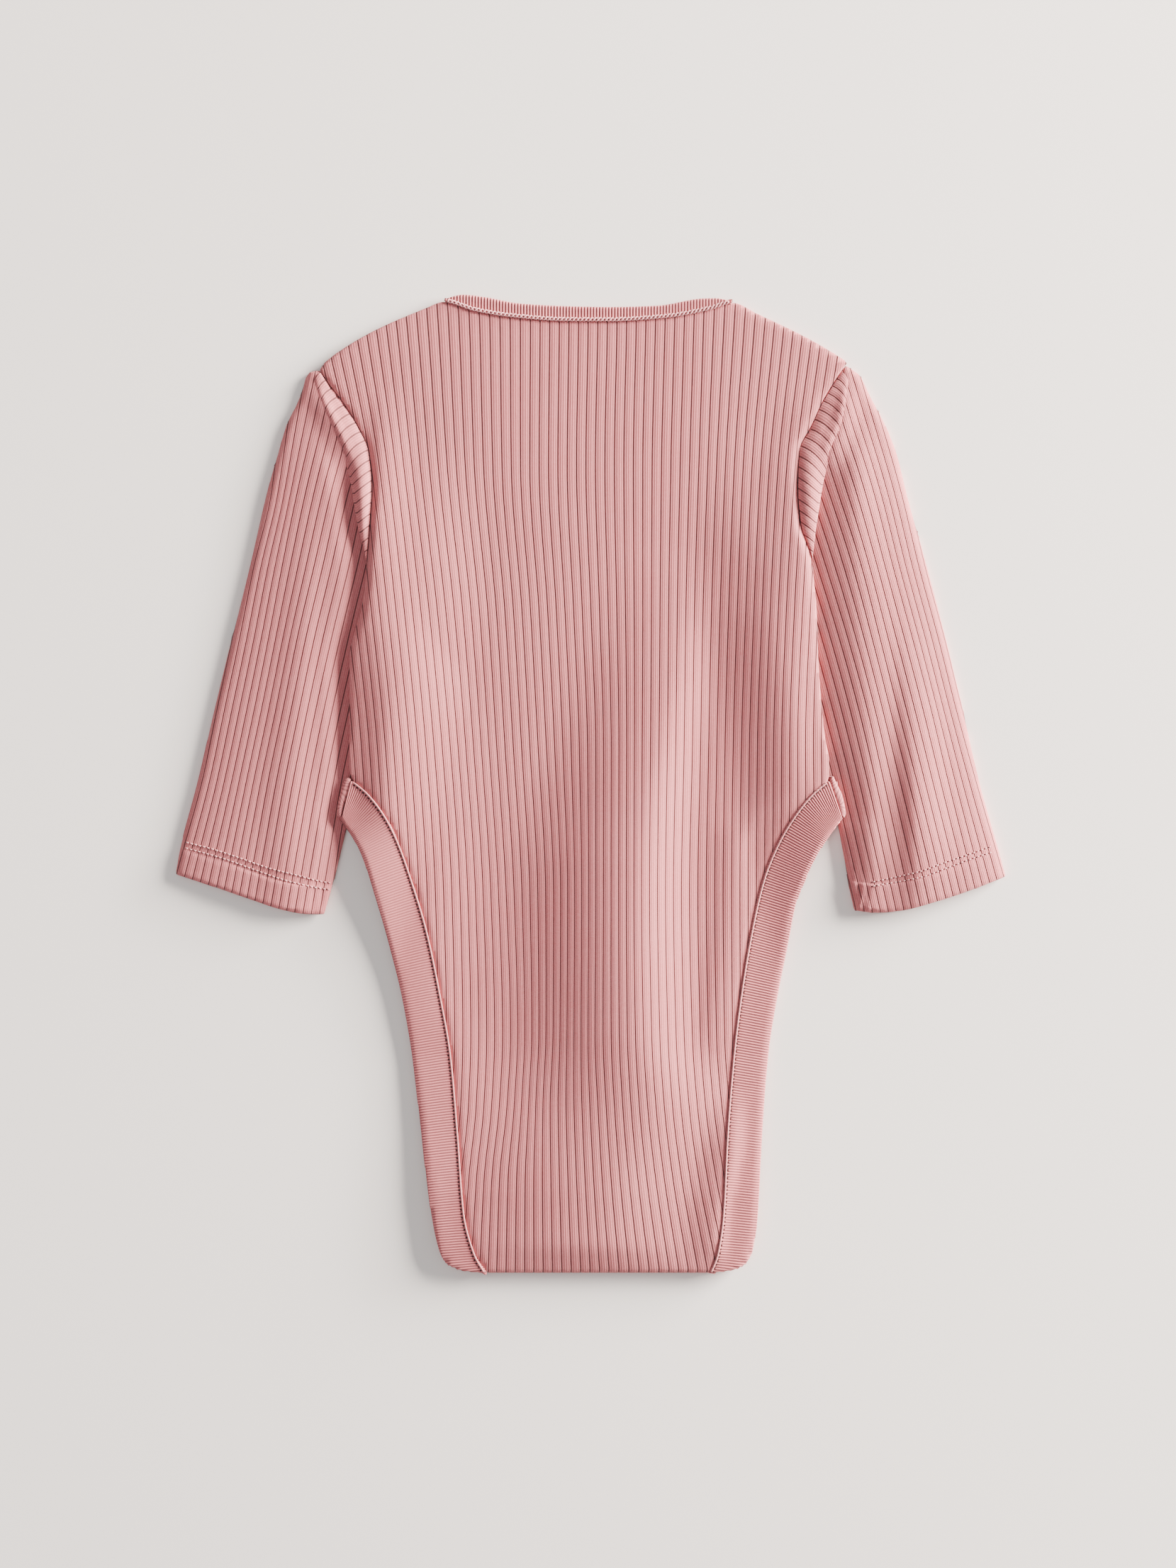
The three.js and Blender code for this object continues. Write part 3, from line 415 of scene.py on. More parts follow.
# Folds of the back, read from the photograph's broad shading: the deep one that runs up from
# the crotch, the left side's, the right side's, and a short one at the right of the crotch
BACK_FOLDS = (
    Fold(
        (
            (-236, 0, 80, 55, 3), (-190, 8, 80, 52, 4.2), (-150, 26, 72, 42, 5.8),
            (-115, 20, 64, 36, 6.9), (-85, 20, 64, 34, 7.5), (-40, 21, 64, 32, 7.2),
            (-10, 25, 58, 30, 6.4), (20, 32, 56, 26, 5.2), (50, 38, 52, 24, 3.6),
            (80, 42, 45, 22, 1.6), (112, 46, 40, 24, 0),
        )
    ),
    Fold(
        (
            (-170, -58, 20, 20, 0), (-130, -68, 60, 24, 0.7), (-100, -80, 60, 28, 1.3),
            (-70, -82, 60, 34, 1.8), (-40, -84, 60, 38, 2.2), (-25, -89, 36, 44, 2.6),
            (-10, -94, 20, 52, 3), (20, -94, 24, 50, 3.2), (50, -96, 24, 42, 3),
            (65, -98, 22, 32, 2.5), (80, -101, 20, 26, 2.1), (110, -102, 16, 20, 1.9),
            (150, -100, 10, 18, 1.6), (190, -99, 8, 16, 0),
        )
    ),
    Fold(
        (
            (-165, 56, 12, 16, 0), (-130, 58, 12, 16, 0.6), (-100, 62, 12, 16, 0.8),
            (-60, 68, 14, 14, 0.9), (-25, 71, 16, 9, 1), (-10, 90, 30, 14, 1.1),
            (5, 94, 34, 15, 1.4), (35, 95, 34, 15, 1.5), (65, 97, 32, 14, 1.5),
            (95, 100, 26, 12, 1.6), (125, 102, 24, 8, 1.8), (150, 101, 24, 8, 1.6),
            (172, 106, 22, 8, 1), (190, 110, 20, 8, 0),
        )
    ),
    Fold(
        (
            (-236, 60, 16, 6, 1), (-205, 62, 18, 6, 1.6), (-175, 68, 18, 6, 1.6),
            (-145, 70, 10, 6, 0),
        )
    ),
)

# Folds along the sleeves
SLEEVE_FOLDS = {
    Side.LEFT: (
        Fold(
            (
                (-60, -146, 16, 12, 0.6), (0, -143, 18, 12, 1), (60, -138, 16, 10, 0.8),
                (130, -132, 12, 8, 0),
            )
        ),
    ),
    Side.RIGHT: (
        Fold(
            (
                (-60, 134, 10, 9, 1), (-20, 133, 12, 11, 1.2), (30, 134, 18, 14, 1),
                (90, 132, 18, 16, 0.8), (150, 127, 10, 12, 0.8), (176, 127, 10, 10, 0),
            )
        ),
        Fold(
            (
                (-60, 158, 12, 20, 1), (-15, 156, 10, 20, 2.4), (30, 155, 11, 18, 1.4),
                (80, 152, 10, 16, 0),
            )
        ),
    ),
}


def both(lines: dict[Side, Curve], x: np.ndarray, y: np.ndarray) -> np.ndarray:
    """Reads the left line where x is negative and the right one elsewhere."""
    return np.where(x < 0, lines[Side.LEFT](y), lines[Side.RIGHT](y))


@dataclass(frozen=True)
class BodyForm:
    """Heights of the body's layers above the floor.

    Attributes:
        lift: How far the sides are raised by the sleeves under them.
        lift_across: Where that starts and is full, inside the sleeve's inner fold.
        lift_top: Levels between which it comes to nothing above.
        inner_reach: The level up to which the sleeve's inner fold is followed.
        tail_run: Levels between which the body comes down from its flap.
        fade: How far from the ends the folds fade.
        side_fade: How far from the sides they fade, above and below.
        side_change: Levels between which that changes.
        band_run: How far the folds run out over the leg bands.
        band_start: The level above the hip from which they do.
        roll_drop: How far a free upper edge rolls down.
        roll_run: How wide that roll is.
    """

    lift: float = 3.8
    lift_across: tuple[float, float] = (46.0, 5.0)
    lift_top: tuple[float, float] = (100.0, 172.0)
    inner_reach: float = 84.0
    tail_run: tuple[float, float] = (-196.0, -130.0)
    fade: float = 14.0
    side_fade: tuple[float, float] = (3.0, 8.0)
    side_change: tuple[float, float] = (-45.0, 30.0)
    band_run: float = 30.0
    band_start: float = 40.0
    roll_drop: float = 0.5
    roll_run: float = 3.5

    def front_low(self, x: np.ndarray, y: np.ndarray) -> np.ndarray:
        """Gives the underside of the front, over the sleeves and the flap.

        Args:
            x: Places across.
            y: Places along.

        Returns:
            The height at each place, in millimetres.
        """
        inner = np.abs(both(SLEEVE_INNER, x, np.minimum(y, self.inner_reach)))
        start, full = self.lift_across
        across = smooth(inner - start, inner - full, np.abs(x))
        side = self.lift * across * (1 - smooth(*self.lift_top, y))
        low, high = self.tail_run
        tail = TAIL_LIFT * np.clip((high - y) / (high - low), 0, 1)
        return np.maximum(side, tail)

    def inside(self, x: np.ndarray, y: np.ndarray) -> np.ndarray:
        """Gives the distance inside the body's outline."""
        across = np.abs(both(BODY_EDGE, x, y)) - np.abs(x)
        return np.minimum(np.minimum(across, TOP_EDGE(x) - y), y - CROTCH_Y)

    def roll(self, inside: np.ndarray) -> np.ndarray:
        """Gives how far an upper face has rolled down at a distance inside its edge."""
        return self.roll_drop * (1 - smooth(0, self.roll_run, inside))

    def back_low(self, x: np.ndarray, y: np.ndarray) -> np.ndarray:
        """Gives the underside of the back panel."""
        return self.front_low(x, y) + LAYER + REST_RELIEF + self.relief(x, y)

    def relief(self, x: np.ndarray, y: np.ndarray) -> np.ndarray:
        """Gives the height of the back's folds, which run out over the leg bands.

        Args:
            x: Places across.
            y: Places along.

        Returns:
            The height at each place, in millimetres.
        """
        side = np.abs(both(SIDES, x, y)) - np.abs(x)
        side = side + self.band_run * (1 - smooth(0, self.band_start, y))
        end = np.minimum(TOP_EDGE(x) - y, y - CROTCH_Y)
        upper, lower = self.side_fade
        reach = lower + (upper - lower) * smooth(*self.side_change, y)
        return smooth(0, reach, side) * smooth(0, self.fade, end) * fold_height(BACK_FOLDS, x, y)

    def back_top(self, x: np.ndarray, y: np.ndarray) -> np.ndarray:
        """Gives the groove floors of the back panel."""
        return self.back_low(x, y) + CLOTH - self.roll(self.inside(x, y))


FORM = BodyForm()


def rib_stations(first: int, last: int, shares: Sequence[float]) -> np.ndarray:
    """Gives the columns of a ribbed sheet, at the same shares of each rib."""
    return np.array([k + share for k in range(first, last) for share in shares] + [float(last)])


def rib_profile(counts: np.ndarray, half: float = 0.1, crown: float = 0.07) -> np.ndarray:
    """Gives a flat rib's height, 0 in its grooves and 1 on its softly crowned top.

    Args:
        counts: Ribs across, whole at a groove.
        half: Half a groove's width, as a share of a rib.
        crown: The crown's share of the height.

    Returns:
        The height's share at each place.
    """
    near = np.abs(counts - np.round(counts))
    return smooth(0, half, near) * (1 - crown + crown * smooth(half, 0.4, near))


def grid_of(*layers: np.ndarray) -> np.ndarray:
    """Stacks arrays of one shape as the coordinates of a grid."""
    return np.stack(np.broadcast_arrays(*layers), -1)


def run_along(path: np.ndarray) -> np.ndarray:
    """Gives the distance run along a line at each of its points."""
    return np.r_[0, np.cumsum(np.linalg.norm(np.diff(path, axis=0), axis=1))]


def points_at(at: np.ndarray, run: np.ndarray, path: np.ndarray) -> np.ndarray:
    """Gives the points of a line at distances along it.

    Args:
        at: Distances along the line.
        run: The distance at each of the line's points.
        path: The line's points.

    Returns:
        A point for each distance.
    """
    return np.stack([np.interp(at, run, track) for track in path.T], -1)


@dataclass(frozen=True)
class Lip:
    """How a sheet's border turns: rings of (outward, down), in millimetres.

    The border's direction is read over a few points each way, so that short cut edges don't
    make it jagged.
    """

    rings: tuple[tuple[float, float], ...]
    reach: int = 3


SEAM_LIP = Lip(((0.02, 0.35), (-0.1, 0.8), (-0.7, 1.2)))
FREE_LIP = Lip(((0.1, 0.3), (0.1, 0.8), (-0.3, 1.15), (-1.6, 1.3)))
BAND_LIP = Lip(((0.25, 0.4), (0.35, 1.1), (0.0, 2.2), (-1.4, 2.6)))
END_LIP = Lip(((0.1, 0.8), (0.0, 2.4)))
NECK_LIP = Lip(((0.15, 0.35), (0.1, 0.9), (-0.6, 1.3)))
FRONT_NECK_LIP = Lip(((0.1, 0.6), (0, 1.1)))
SLEEVE_LIP = Lip(((0.25, 0.35), (0.35, 0.9), (0.1, 1.5), (-0.8, 1.9)))
SLEEVE_FLOOR_LIP = Lip(((0.1, 0.5), (-0.2, 1.1), (-2.0, 1.3)))


@dataclass
class Sheet:
    """Cloth being built: points in metres, places in the knit, and faces."""

    points: list[tuple[float, float, float]] = field(default_factory=list)
    places: list[tuple[float, float]] = field(default_factory=list)
    faces: list[tuple[int, ...]] = field(default_factory=list)

    def grid(
        self,
        points: np.ndarray,
        places: np.ndarray,
        inside: np.ndarray | None = None,
        lip: Lip | None = None,
        flip: bool = False,
    ) -> None:
        """Adds a grid of points, cut along its outline, with its border turned under.

        Args:
            points: Rows by columns by three, in millimetres.
            places: Rows by columns by two, in ribs across and millimetres along.
            inside: Distance inside the outline at each point, or None for the whole grid.
            lip: How the cut border turns, or None.
            flip: Whether the faces turn the other way.
        """
        rows, columns = points.shape[:2]
        flat = points.reshape(-1, 3)
        place = places.reshape(-1, 2)
        value = np.ones(len(flat)) if inside is None else inside.reshape(-1)
        verts = [tuple(p) for p in flat]
        uvs = [tuple(p) for p in place]
        index = np.arange(rows * columns).reshape(rows, columns)
        quads = np.stack(
            [index[:-1, :-1], index[1:, :-1], index[1:, 1:], index[:-1, 1:]], -1
        ).reshape(-1, 4)
        good = value[quads] > 0
        kept = [tuple(q) for q in quads[good.all(1)].tolist()]
        cuts: dict[tuple[int, int], int] = {}
        for quad in quads[good.any(1) & ~good.all(1)].tolist():
            kept.append(self._cut(quad, value, verts, uvs, cuts))
        faces = [f for f in kept if len(f) > 2]
        if flip:
            faces = [f[::-1] for f in faces]
        if lip:
            self._turn(verts, uvs, faces, lip)
        self._keep(verts, uvs, faces)

    @staticmethod
    def _cut(
        quad: Sequence[int],
        value: np.ndarray,
        verts: list[tuple[float, float, float]],
        uvs: list[tuple[float, float]],
        cuts: dict[tuple[int, int], int],
    ) -> tuple[int, ...]:
        """Cuts one face where its value passes zero.

        Args:
            quad: The face's points.
            value: Distance inside at each point of the grid.
            verts: All points, which new ones join.
            uvs: All places, which new ones join.
            cuts: New points by the edge they lie on.

        Returns:
            The face that is left.
        """
        face = []
        for k, a in enumerate(quad):
            b = quad[(k + 1) % len(quad)]
            if value[a] > 0:
                face.append(a)
            if (value[a] > 0) != (value[b] > 0):
                key = (min(a, b), max(a, b))
                if key not in cuts:
                    share = value[a] / (value[a] - value[b])
                    point = [p + (q - p) * share for p, q in zip(verts[a], verts[b])]
                    place = [p + (q - p) * share for p, q in zip(uvs[a], uvs[b])]
                    cuts[key] = len(verts)
                    verts.append(tuple(point))
                    uvs.append(tuple(place))
                face.append(cuts[key])
        return tuple(face)

    @staticmethod
    def _turn(
        verts: list[tuple[float, float, float]],
        uvs: list[tuple[float, float]],
        faces: list[tuple[int, ...]],
        lip: Lip,
    ) -> None:
        """Turns the sheet's open borders under.

        Args:
            verts: The sheet's points, which the turned ones join.
            uvs: The sheet's places.
            faces: The sheet's faces, which the turned ones join.
            lip: The rings of the turn.
        """
        edges = {(f[k], f[(k + 1) % len(f)]) for f in faces for k in range(len(f))}
        after = {a: b for a, b in edges if (b, a) not in edges}
        before = {b: a for a, b in after.items()}
        point = np.array(verts)
        normal = np.zeros_like(point)
        border = set(after)
        for f in faces:
            if border.intersection(f):
                n = np.cross(point[f[1]] - point[f[0]], point[f[2]] - point[f[0]])
                size = np.linalg.norm(n)
                if size > TINY:
                    for k in f:
                        normal[k] += n / size
        ring = {a: a for a in after}
        sides = {}
        for a in after:
            ahead, behind = a, a
            for _ in range(lip.reach):
                ahead, behind = after.get(ahead, ahead), before.get(behind, behind)
            tangent = point[ahead] - point[behind]
            n = normal[a] / max(np.linalg.norm(normal[a]), TINY)
            out = np.cross(tangent, n)
            sides[a] = (out / max(np.linalg.norm(out), TINY), n)
        for outward, down in lip.rings:
            following = {}
            for a, (out, n) in sides.items():
                following[a] = len(verts)
                verts.append(tuple(point[a] + out * outward - n * down))
                uvs.append(uvs[a])
            for a, b in after.items():
                if b in ring:
                    faces.append((ring[b], ring[a], following[a], following[b]))
            ring = following

    def _keep(
        self,
        verts: list[tuple[float, float, float]],
        uvs: list[tuple[float, float]],
        faces: list[tuple[int, ...]],
    ) -> None:
        """Adds the points that faces use, in metres and never below the floor.

        Args:
            verts: Points in millimetres.
            uvs: Their places in the knit.
            faces: The faces.
        """
        used = sorted({k for f in faces for k in f})
        place = {k: n + len(self.points) for n, k in enumerate(used)}
        floor = (-math.inf, -math.inf, FLOOR_CLEAR)
        self.points += [tuple(max(c, f) * MM for c, f in zip(verts[k], floor)) for k in used]
        self.places += [uvs[k] for k in used]
        self.faces += [tuple(place[k] for k in f) for f in faces]

    def build(self, name: str, finish: "Finish", slot: str) -> bpy.types.Object:
        """Makes the sheet an object that rides on the garment.

        Args:
            name: The piece's name.
            finish: Its finish.
            slot: Not used.

        Returns:
            The object.
        """
        mesh = bpy.data.meshes.new(name)
        mesh.from_pydata(self.points, [], self.faces)
        layer = mesh.uv_layers.new(name="knit")
        corner = np.zeros(len(mesh.loops), int)
        mesh.loops.foreach_get("vertex_index", corner)
        layer.data.foreach_set("uv", np.array(self.places, np.float32)[corner].ravel())
        mesh.polygons.foreach_set("use_smooth", [True] * len(mesh.polygons))
        joined = bmesh.new()
        joined.from_mesh(mesh)
        bmesh.ops.remove_doubles(joined, verts=joined.verts, dist=MERGE)
        joined.to_mesh(mesh)
        joined.free()
        mesh.materials.append(finish.material())
        piece = bpy.data.objects.new(name, mesh)
        bpy.context.scene.collection.objects.link(piece)
        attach(piece, "root")
        LOG.info("%s: %d faces, %.4f square metres", name, len(self.faces), self.area())
        return piece

    def area(self) -> float:
        """Gives the sheet's area in square metres.

        Returns:
            The area of its faces.
        """
        total = 0.0
        point = np.array(self.points)
        for f in self.faces:
            for k in range(1, len(f) - 1):
                a, b, c = point[f[0]], point[f[k]], point[f[k + 1]]
                total += float(np.linalg.norm(np.cross(b - a, c - a))) / 2
        return total


def rgba(colour: str) -> tuple[float, float, float, float]:
    """Turns an sRGB hex colour to the linear values that shaders take.

    Args:
        colour: A colour such as #bf6365.

    Returns:
        Red, green, blue and alpha.
    """
    channels = [int(colour[k : k + 2], 16) / 255 for k in (1, 3, 5)]
    red, green, blue = (
        c / 12.92 if c <= 0.04045 else ((c + 0.055) / 1.055) ** 2.4 for c in channels
    )
    return (red, green, blue, 1.0)


def node(
    tree: bpy.types.NodeTree,
    kind: str,
    inputs: Sequence[object] | dict[str | int, object] = (),
    output: str | int = 0,
    **settings: object,
) -> bpy.types.NodeSocket | None:
    """Adds a shader node with its settings and links.

    Args:
        tree: The material's nodes.
        kind: The node's type, after ShaderNode.
        inputs: A value or an output socket for each input, in order or by name or number.
        output: The output to give back.
        **settings: The node's own settings.

    Returns:
        That output, where the node has one.
    """
    added = tree.nodes.new(f"ShaderNode{kind}")
    for name, value in settings.items():
        setattr(added, name, value)
    for key, value in inputs.items() if isinstance(inputs, dict) else enumerate(inputs):
        if isinstance(value, bpy.types.NodeSocket):
            tree.links.new(value, added.inputs[key])
        else:
            added.inputs[key].default_value = value
    return added.outputs[output] if added.outputs else None


def empty_material(name: str) -> bpy.types.Material:
    """Makes a material with no nodes.

    Args:
        name: The material's name.

    Returns:
        The material.
    """
    made = bpy.data.materials.new(name)
    made.use_nodes = True
    made.node_tree.nodes.clear()
    return made


class Knit(Enum):
    """Knits that a finish can draw, by their wales to each rib."""

    WIDE_RIB = 4
    FINE_RIB = 1
    THREAD = 0


@dataclass(frozen=True)
class Finish:
    """Dyed cotton yarn, matt, with a soft fuzz that pales its edges.

    The mesh has the ribs, and this draws their stitches, with painted shade between them and
    painted shadow in their grooves.

    Attributes:
        name: The material's name.
        knit: The knit that it draws.
        base: The yarn's colour.
        shade: The painted shade, down in the grooves between ribs and between stitches.
        light: The yarn's colour where it is paler.
        bump: The stitches' strength.
        course: From one row of stitches to the next, in millimetres, a little coarser than
            real rows, so that they show in the render.
        groove: Where a groove's shadow starts and ends, as shares of a rib.
        groove_depth: How dark the groove's painted shadow gets.
        fuzz_scale: Fuzz to a metre: 0.7 mm across, coarser than the real hairs, to show.
        blotch_scale: Uneven dye to a metre: 26 mm across.
    """

    name: str
    knit: Knit
    base: str = "#bf6365"
    shade: str = "#381c1d"
    light: str = "#d07e80"
    bump: float = 0.6
    course: float = 0.56
    groove: tuple[float, float] = (0.045, 0.125)
    groove_depth: float = 1.0
    fuzz_scale: float = 1400.0
    blotch_scale: float = 38.0

    def material(self) -> bpy.types.Material:
        """Makes the material, or gives it if it is already there.

        Returns:
            The material.
        """
        made = bpy.data.materials.get(self.name)
        if made:
            return made
        made = empty_material(self.name)
        tree = made.node_tree
        knit_place = node(tree, "UVMap", uv_map="knit")
        across, along, _ = node(tree, "SeparateXYZ", [knit_place]).node.outputs
        height, dark = self._stitches(tree, across, along)
        place = node(tree, "TexCoord", output="Object")
        fuzz = node(
            tree, "TexNoise", {"Vector": place, "Scale": self.fuzz_scale, "Detail": 2.0}
        )
        blotch = node(
            tree, "TexNoise", {"Vector": place, "Scale": self.blotch_scale, "Detail": 3.0}
        )
        tone = node(tree, "Math", [blotch, 0.35, 0.32], operation="MULTIPLY_ADD")
        grain = node(tree, "Math", [fuzz, 1.2, -0.6], operation="MULTIPLY_ADD")
        tone = node(tree, "Math", [tone, grain], operation="ADD")
        yarn = {0: tone, 6: rgba(self.base), 7: rgba(self.light)}
        lit = node(tree, "Mix", yarn, 2, data_type="RGBA")
        # Painted shade: the yarn's colour darkens towards the shade colour in the grooves and
        # between the stitches.
        deep = node(tree, "Mix", {0: dark, 6: lit, 7: rgba(self.shade)}, 2, data_type="RGBA")
        relief = {"Strength": self.bump, "Distance": 0.00012, "Height": height}
        bumped = node(tree, "Bump", relief)
        cotton = {
            "Base Color": deep,
            "Normal": bumped,
            "Roughness": 0.93,
            "Specular IOR Level": 0.25,
            "Sheen Weight": 0.25,
            "Sheen Roughness": 0.6,
            "Sheen Tint": rgba("#f3dad6"),
        }
        node(tree, "OutputMaterial", {"Surface": node(tree, "BsdfPrincipled", cotton)})
        return made

    def _stitches(
        self, tree: bpy.types.NodeTree, across: bpy.types.NodeSocket, along: bpy.types.NodeSocket
    ) -> tuple[bpy.types.NodeSocket, bpy.types.NodeSocket]:
        """Draws the knit's stitches, with painted shade between them and painted shadow in the
        grooves.

        Args:
            tree: The material's nodes.
            across: Ribs across the cloth.
            along: Millimetres along the ribs.

        Returns:
            The stitches' height, and how dark each place is: painted shade in the grooves and
            between stitches, and stripes along a thread's twist.
        """
        wales = max(self.knit.value, 1)
        wale = node(tree, "Math", [across, wales], operation="MULTIPLY")
        wale = node(tree, "Math", [wale, 0.5], operation="PINGPONG")
        row = node(tree, "Math", [along, 1 / self.course], operation="MULTIPLY")
        slant = node(tree, "Math", [wale, 1.5, row], operation="MULTIPLY_ADD")
        turn = node(tree, "Math", [slant, 2 * math.pi], operation="MULTIPLY")
        wave = node(tree, "Math", [turn], operation="SINE")
        leg = node(tree, "Math", [wave, 0.5, 0.5], operation="MULTIPLY_ADD")
        if self.knit is Knit.THREAD:
            return leg, node(tree, "Math", [leg, 0.25], operation="MULTIPLY")
        crown = node(tree, "Math", [wale, 2.0], operation="MULTIPLY")
        height = node(tree, "Math", [leg, 0.5, crown], operation="MULTIPLY_ADD")
        # Painted shadow along each groove, dotted where the stitches sink into it.
        near = node(tree, "Math", [across, 0.5], operation="PINGPONG")
        start, reach = self.groove
        span = {"Value": near, "From Min": start, "From Max": reach, "To Min": 1.0, "To Max": 0.0}
        groove = node(tree, "MapRange", span, interpolation_type="SMOOTHSTEP")
        hole = node(tree, "Math", [wave, 0.2, 0.8], operation="MULTIPLY_ADD")
        hole = node(tree, "Math", [hole, self.groove_depth], operation="MULTIPLY")
        groove = node(tree, "Math", [groove, hole], operation="MULTIPLY")
        # Painted shade in the gaps between the stitches.
        gap = node(tree, "Math", [1.0, height], operation="SUBTRACT")
        gap = node(tree, "Math", [gap, 0.0], operation="MAXIMUM")
        loose = node(tree, "Math", [gap, 0.42], operation="MULTIPLY")
        return height, node(tree, "Math", [groove, loose], operation="MAXIMUM")


@dataclass(frozen=True)
class Paint:
    """A painted surface, with a fine speckle where it has a second colour.

    Attributes:
        name: The material's name.
        base: Its colour.
        roughness: Its roughness.
        specular: Its gloss.
        metallic: How much metal shows.
        speckle: The speckle's colour.
        speckle_scale: Speckles to a metre: 1.1 mm across, coarser than real ones, to show.
    """

    name: str
    base: str
    roughness: float
    specular: float = 0.5
    metallic: float = 0.0
    speckle: str = ""
    speckle_scale: float = 900.0

    def material(self) -> bpy.types.Material:
        """Makes the material.

        Returns:
            The material.
        """
        made = empty_material(self.name)
        tree = made.node_tree
        colour = rgba(self.base)
        if self.speckle:
            place = node(tree, "TexCoord", output="Object")
            grain = node(tree, "TexNoise", {"Vector": place, "Scale": self.speckle_scale})
            tones = {0: grain, 6: colour, 7: rgba(self.speckle)}
            colour = node(tree, "Mix", tones, 2, data_type="RGBA")
        coat = {
            "Base Color": colour,
            "Roughness": self.roughness,
            "Specular IOR Level": self.specular,
            "Metallic": self.metallic,
        }
        node(tree, "OutputMaterial", {"Surface": node(tree, "BsdfPrincipled", coat)})
        return made


# Cotton in a wide flat rib, knitted and dyed rose: each rib 4.2 mm across, of four columns of
# small slanting stitches, with a thin groove between ribs darkened by painted shadow, and
# painted shade between the stitches. It is matt and soft to the eye.
WIDE_KNIT = Finish("cotton_wide_rib_knit", Knit.WIDE_RIB)

# The same cotton in a fine 1 by 1 rib for the bands: ribs 1.3 to 1.5 mm across, with softer
# painted shadow in its grooves, so that it looks smoother and a little paler than the body.
BAND_KNIT = Finish(
    "cotton_fine_rib_knit",
    Knit.FINE_RIB,
    base="#c66b6d",
    bump=0.4,
    groove=(0.04, 0.28),
    groove_depth=0.7,
)

# The shadow in a needle hole, where the thread draws the knit down: dark red and matt.
HOLE_SHADOW = Finish("needle_hole_shadow", Knit.THREAD, base="#3f2021", shade="#351a1b", light="#4a2829")

# The seam's cord: cotton yarn overlocked round the seam, coloured paler than the cloth as
# painted highlight, for its round shape and tight twist.
CORD = Finish("cotton_seam_cord", Knit.THREAD, base="#c4787a", light="#d18a8b", bump=0.3)

# Sewing thread: polyester core wrapped in cotton, a tone lighter than the cloth, so that
# each stitch is a small pale bar.
THREAD = Finish("polyester_core_sewing_thread", Knit.THREAD, base="#d88d8f", light="#e5a5a6")

# A press stud's cap: stamped brass, painted to go with the cloth, with a satin gloss.
STUD_PAINT = Paint(
    "painted_brass_press_stud", "#c9a6a3", roughness=0.4, metallic=0.3, speckle="#d4b3af"
)

# The floor: a board with matt off-white paint, plain, so that only soft shadows show on it.
FLOOR_PAINT = Paint("matt_painted_board", "#f8f1eb", roughness=0.9, specular=0.2)


@dataclass
class Thread:
    """Sewing thread laid on the cloth as a thin round cord.

    Attributes:
        radius: The thread's radius.
        sides: Faces round it.
        points: Points along a stitch.
        sink: How far a stitch's ends sink into the cloth, as a share of the radius.
        start: Where a row's first stitch starts.
    """

    radius: float = 0.3
    sides: int = 6
    points: int = 6
    sink: float = 0.3
    start: float = 0.3

    def lay(self, sheet: Sheet, points: np.ndarray, swell: np.ndarray | float = 1.0) -> None:
        """Adds a length of thread, closed to a point at both ends.

        Args:
            sheet: The piece being built.
            points: The thread's middle line, in millimetres.
            swell: Its thickness at each point, as a share of the radius.
        """
        tangent = np.gradient(points, axis=0)
        tangent /= np.linalg.norm(tangent, axis=1)[:, None]
        side = np.cross(tangent, (0.0, 0.0, 1.0))
        side /= np.linalg.norm(side, axis=1)[:, None]
        up = np.cross(side, tangent)
        turn = np.linspace(0, 2 * math.pi, self.sides + 1)
        thick = self.radius * np.broadcast_to(swell, len(points))
        thick = thick * np.r_[0, np.ones(len(points) - 2), 0]
        ring = side[:, None] * np.cos(turn)[None, :, None]
        ring = ring + up[:, None] * np.sin(turn)[None, :, None]
        tube = points[:, None] + ring * thick[:, None, None]
        twist = np.broadcast_to(turn / 6, tube.shape[:2])
        sheet.grid(tube, grid_of(twist, run_along(points)[:, None]))

    def stitches(self, sheet: Sheet, path: np.ndarray, pitch: float, length: float) -> np.ndarray:
        """Adds separate stitches along a path.

        Args:
            sheet: The piece being built.
            path: The row's line, in millimetres.
            pitch: From one stitch to the next.
            length: Each stitch's length.

        Returns:
            Where the needle went in, between the stitches.
        """
        run = run_along(path)
        share = np.linspace(0, 1, self.points)
        starts = np.arange(self.start, run[-1] - length, pitch)
        for start in starts:
            points = points_at(start + length * share, run, path)
            points[:, 2] += self.radius * (np.sin(math.pi * share) - self.sink)
            self.lay(sheet, points)
        return points_at(starts - (pitch - length) / 2, run, path)


@dataclass
class NeedleHoleShadows:
    """Painted shadows of needle holes, each a small dark disc laid on the cloth.

    Attributes:
        radius: Each hole's radius.
        sides: Points round it.
        rings: Its rings, by their share of the radius and their height.
    """

    radius: float
    sides: int = 8
    rings: tuple[tuple[float, float], ...] = ((1.0, 0.0), (0.55, 0.04), (0.0, 0.05))

    def build(self, name: str, places: np.ndarray, slot: str) -> bpy.types.Object:
        """Makes a row of painted hole shadows.

        Args:
            name: The piece's name.
            places: The holes' middles, in millimetres.
            slot: Not used; it is only passed on to the sheet, which ignores it.

        Returns:
            The piece.
        """
        sheet = Sheet()
        turn = np.linspace(0, 2 * math.pi, self.sides)[:, None]
        reach, rise = np.array(self.rings).T
        for place in places:
            x = place[0] + self.radius * np.cos(turn) * reach
            y = place[1] + self.radius * np.sin(turn) * reach
            sheet.grid(grid_of(x, y, place[2] + rise), grid_of(x, y), flip=True)
        return sheet.build(name, HOLE_SHADOW, slot)


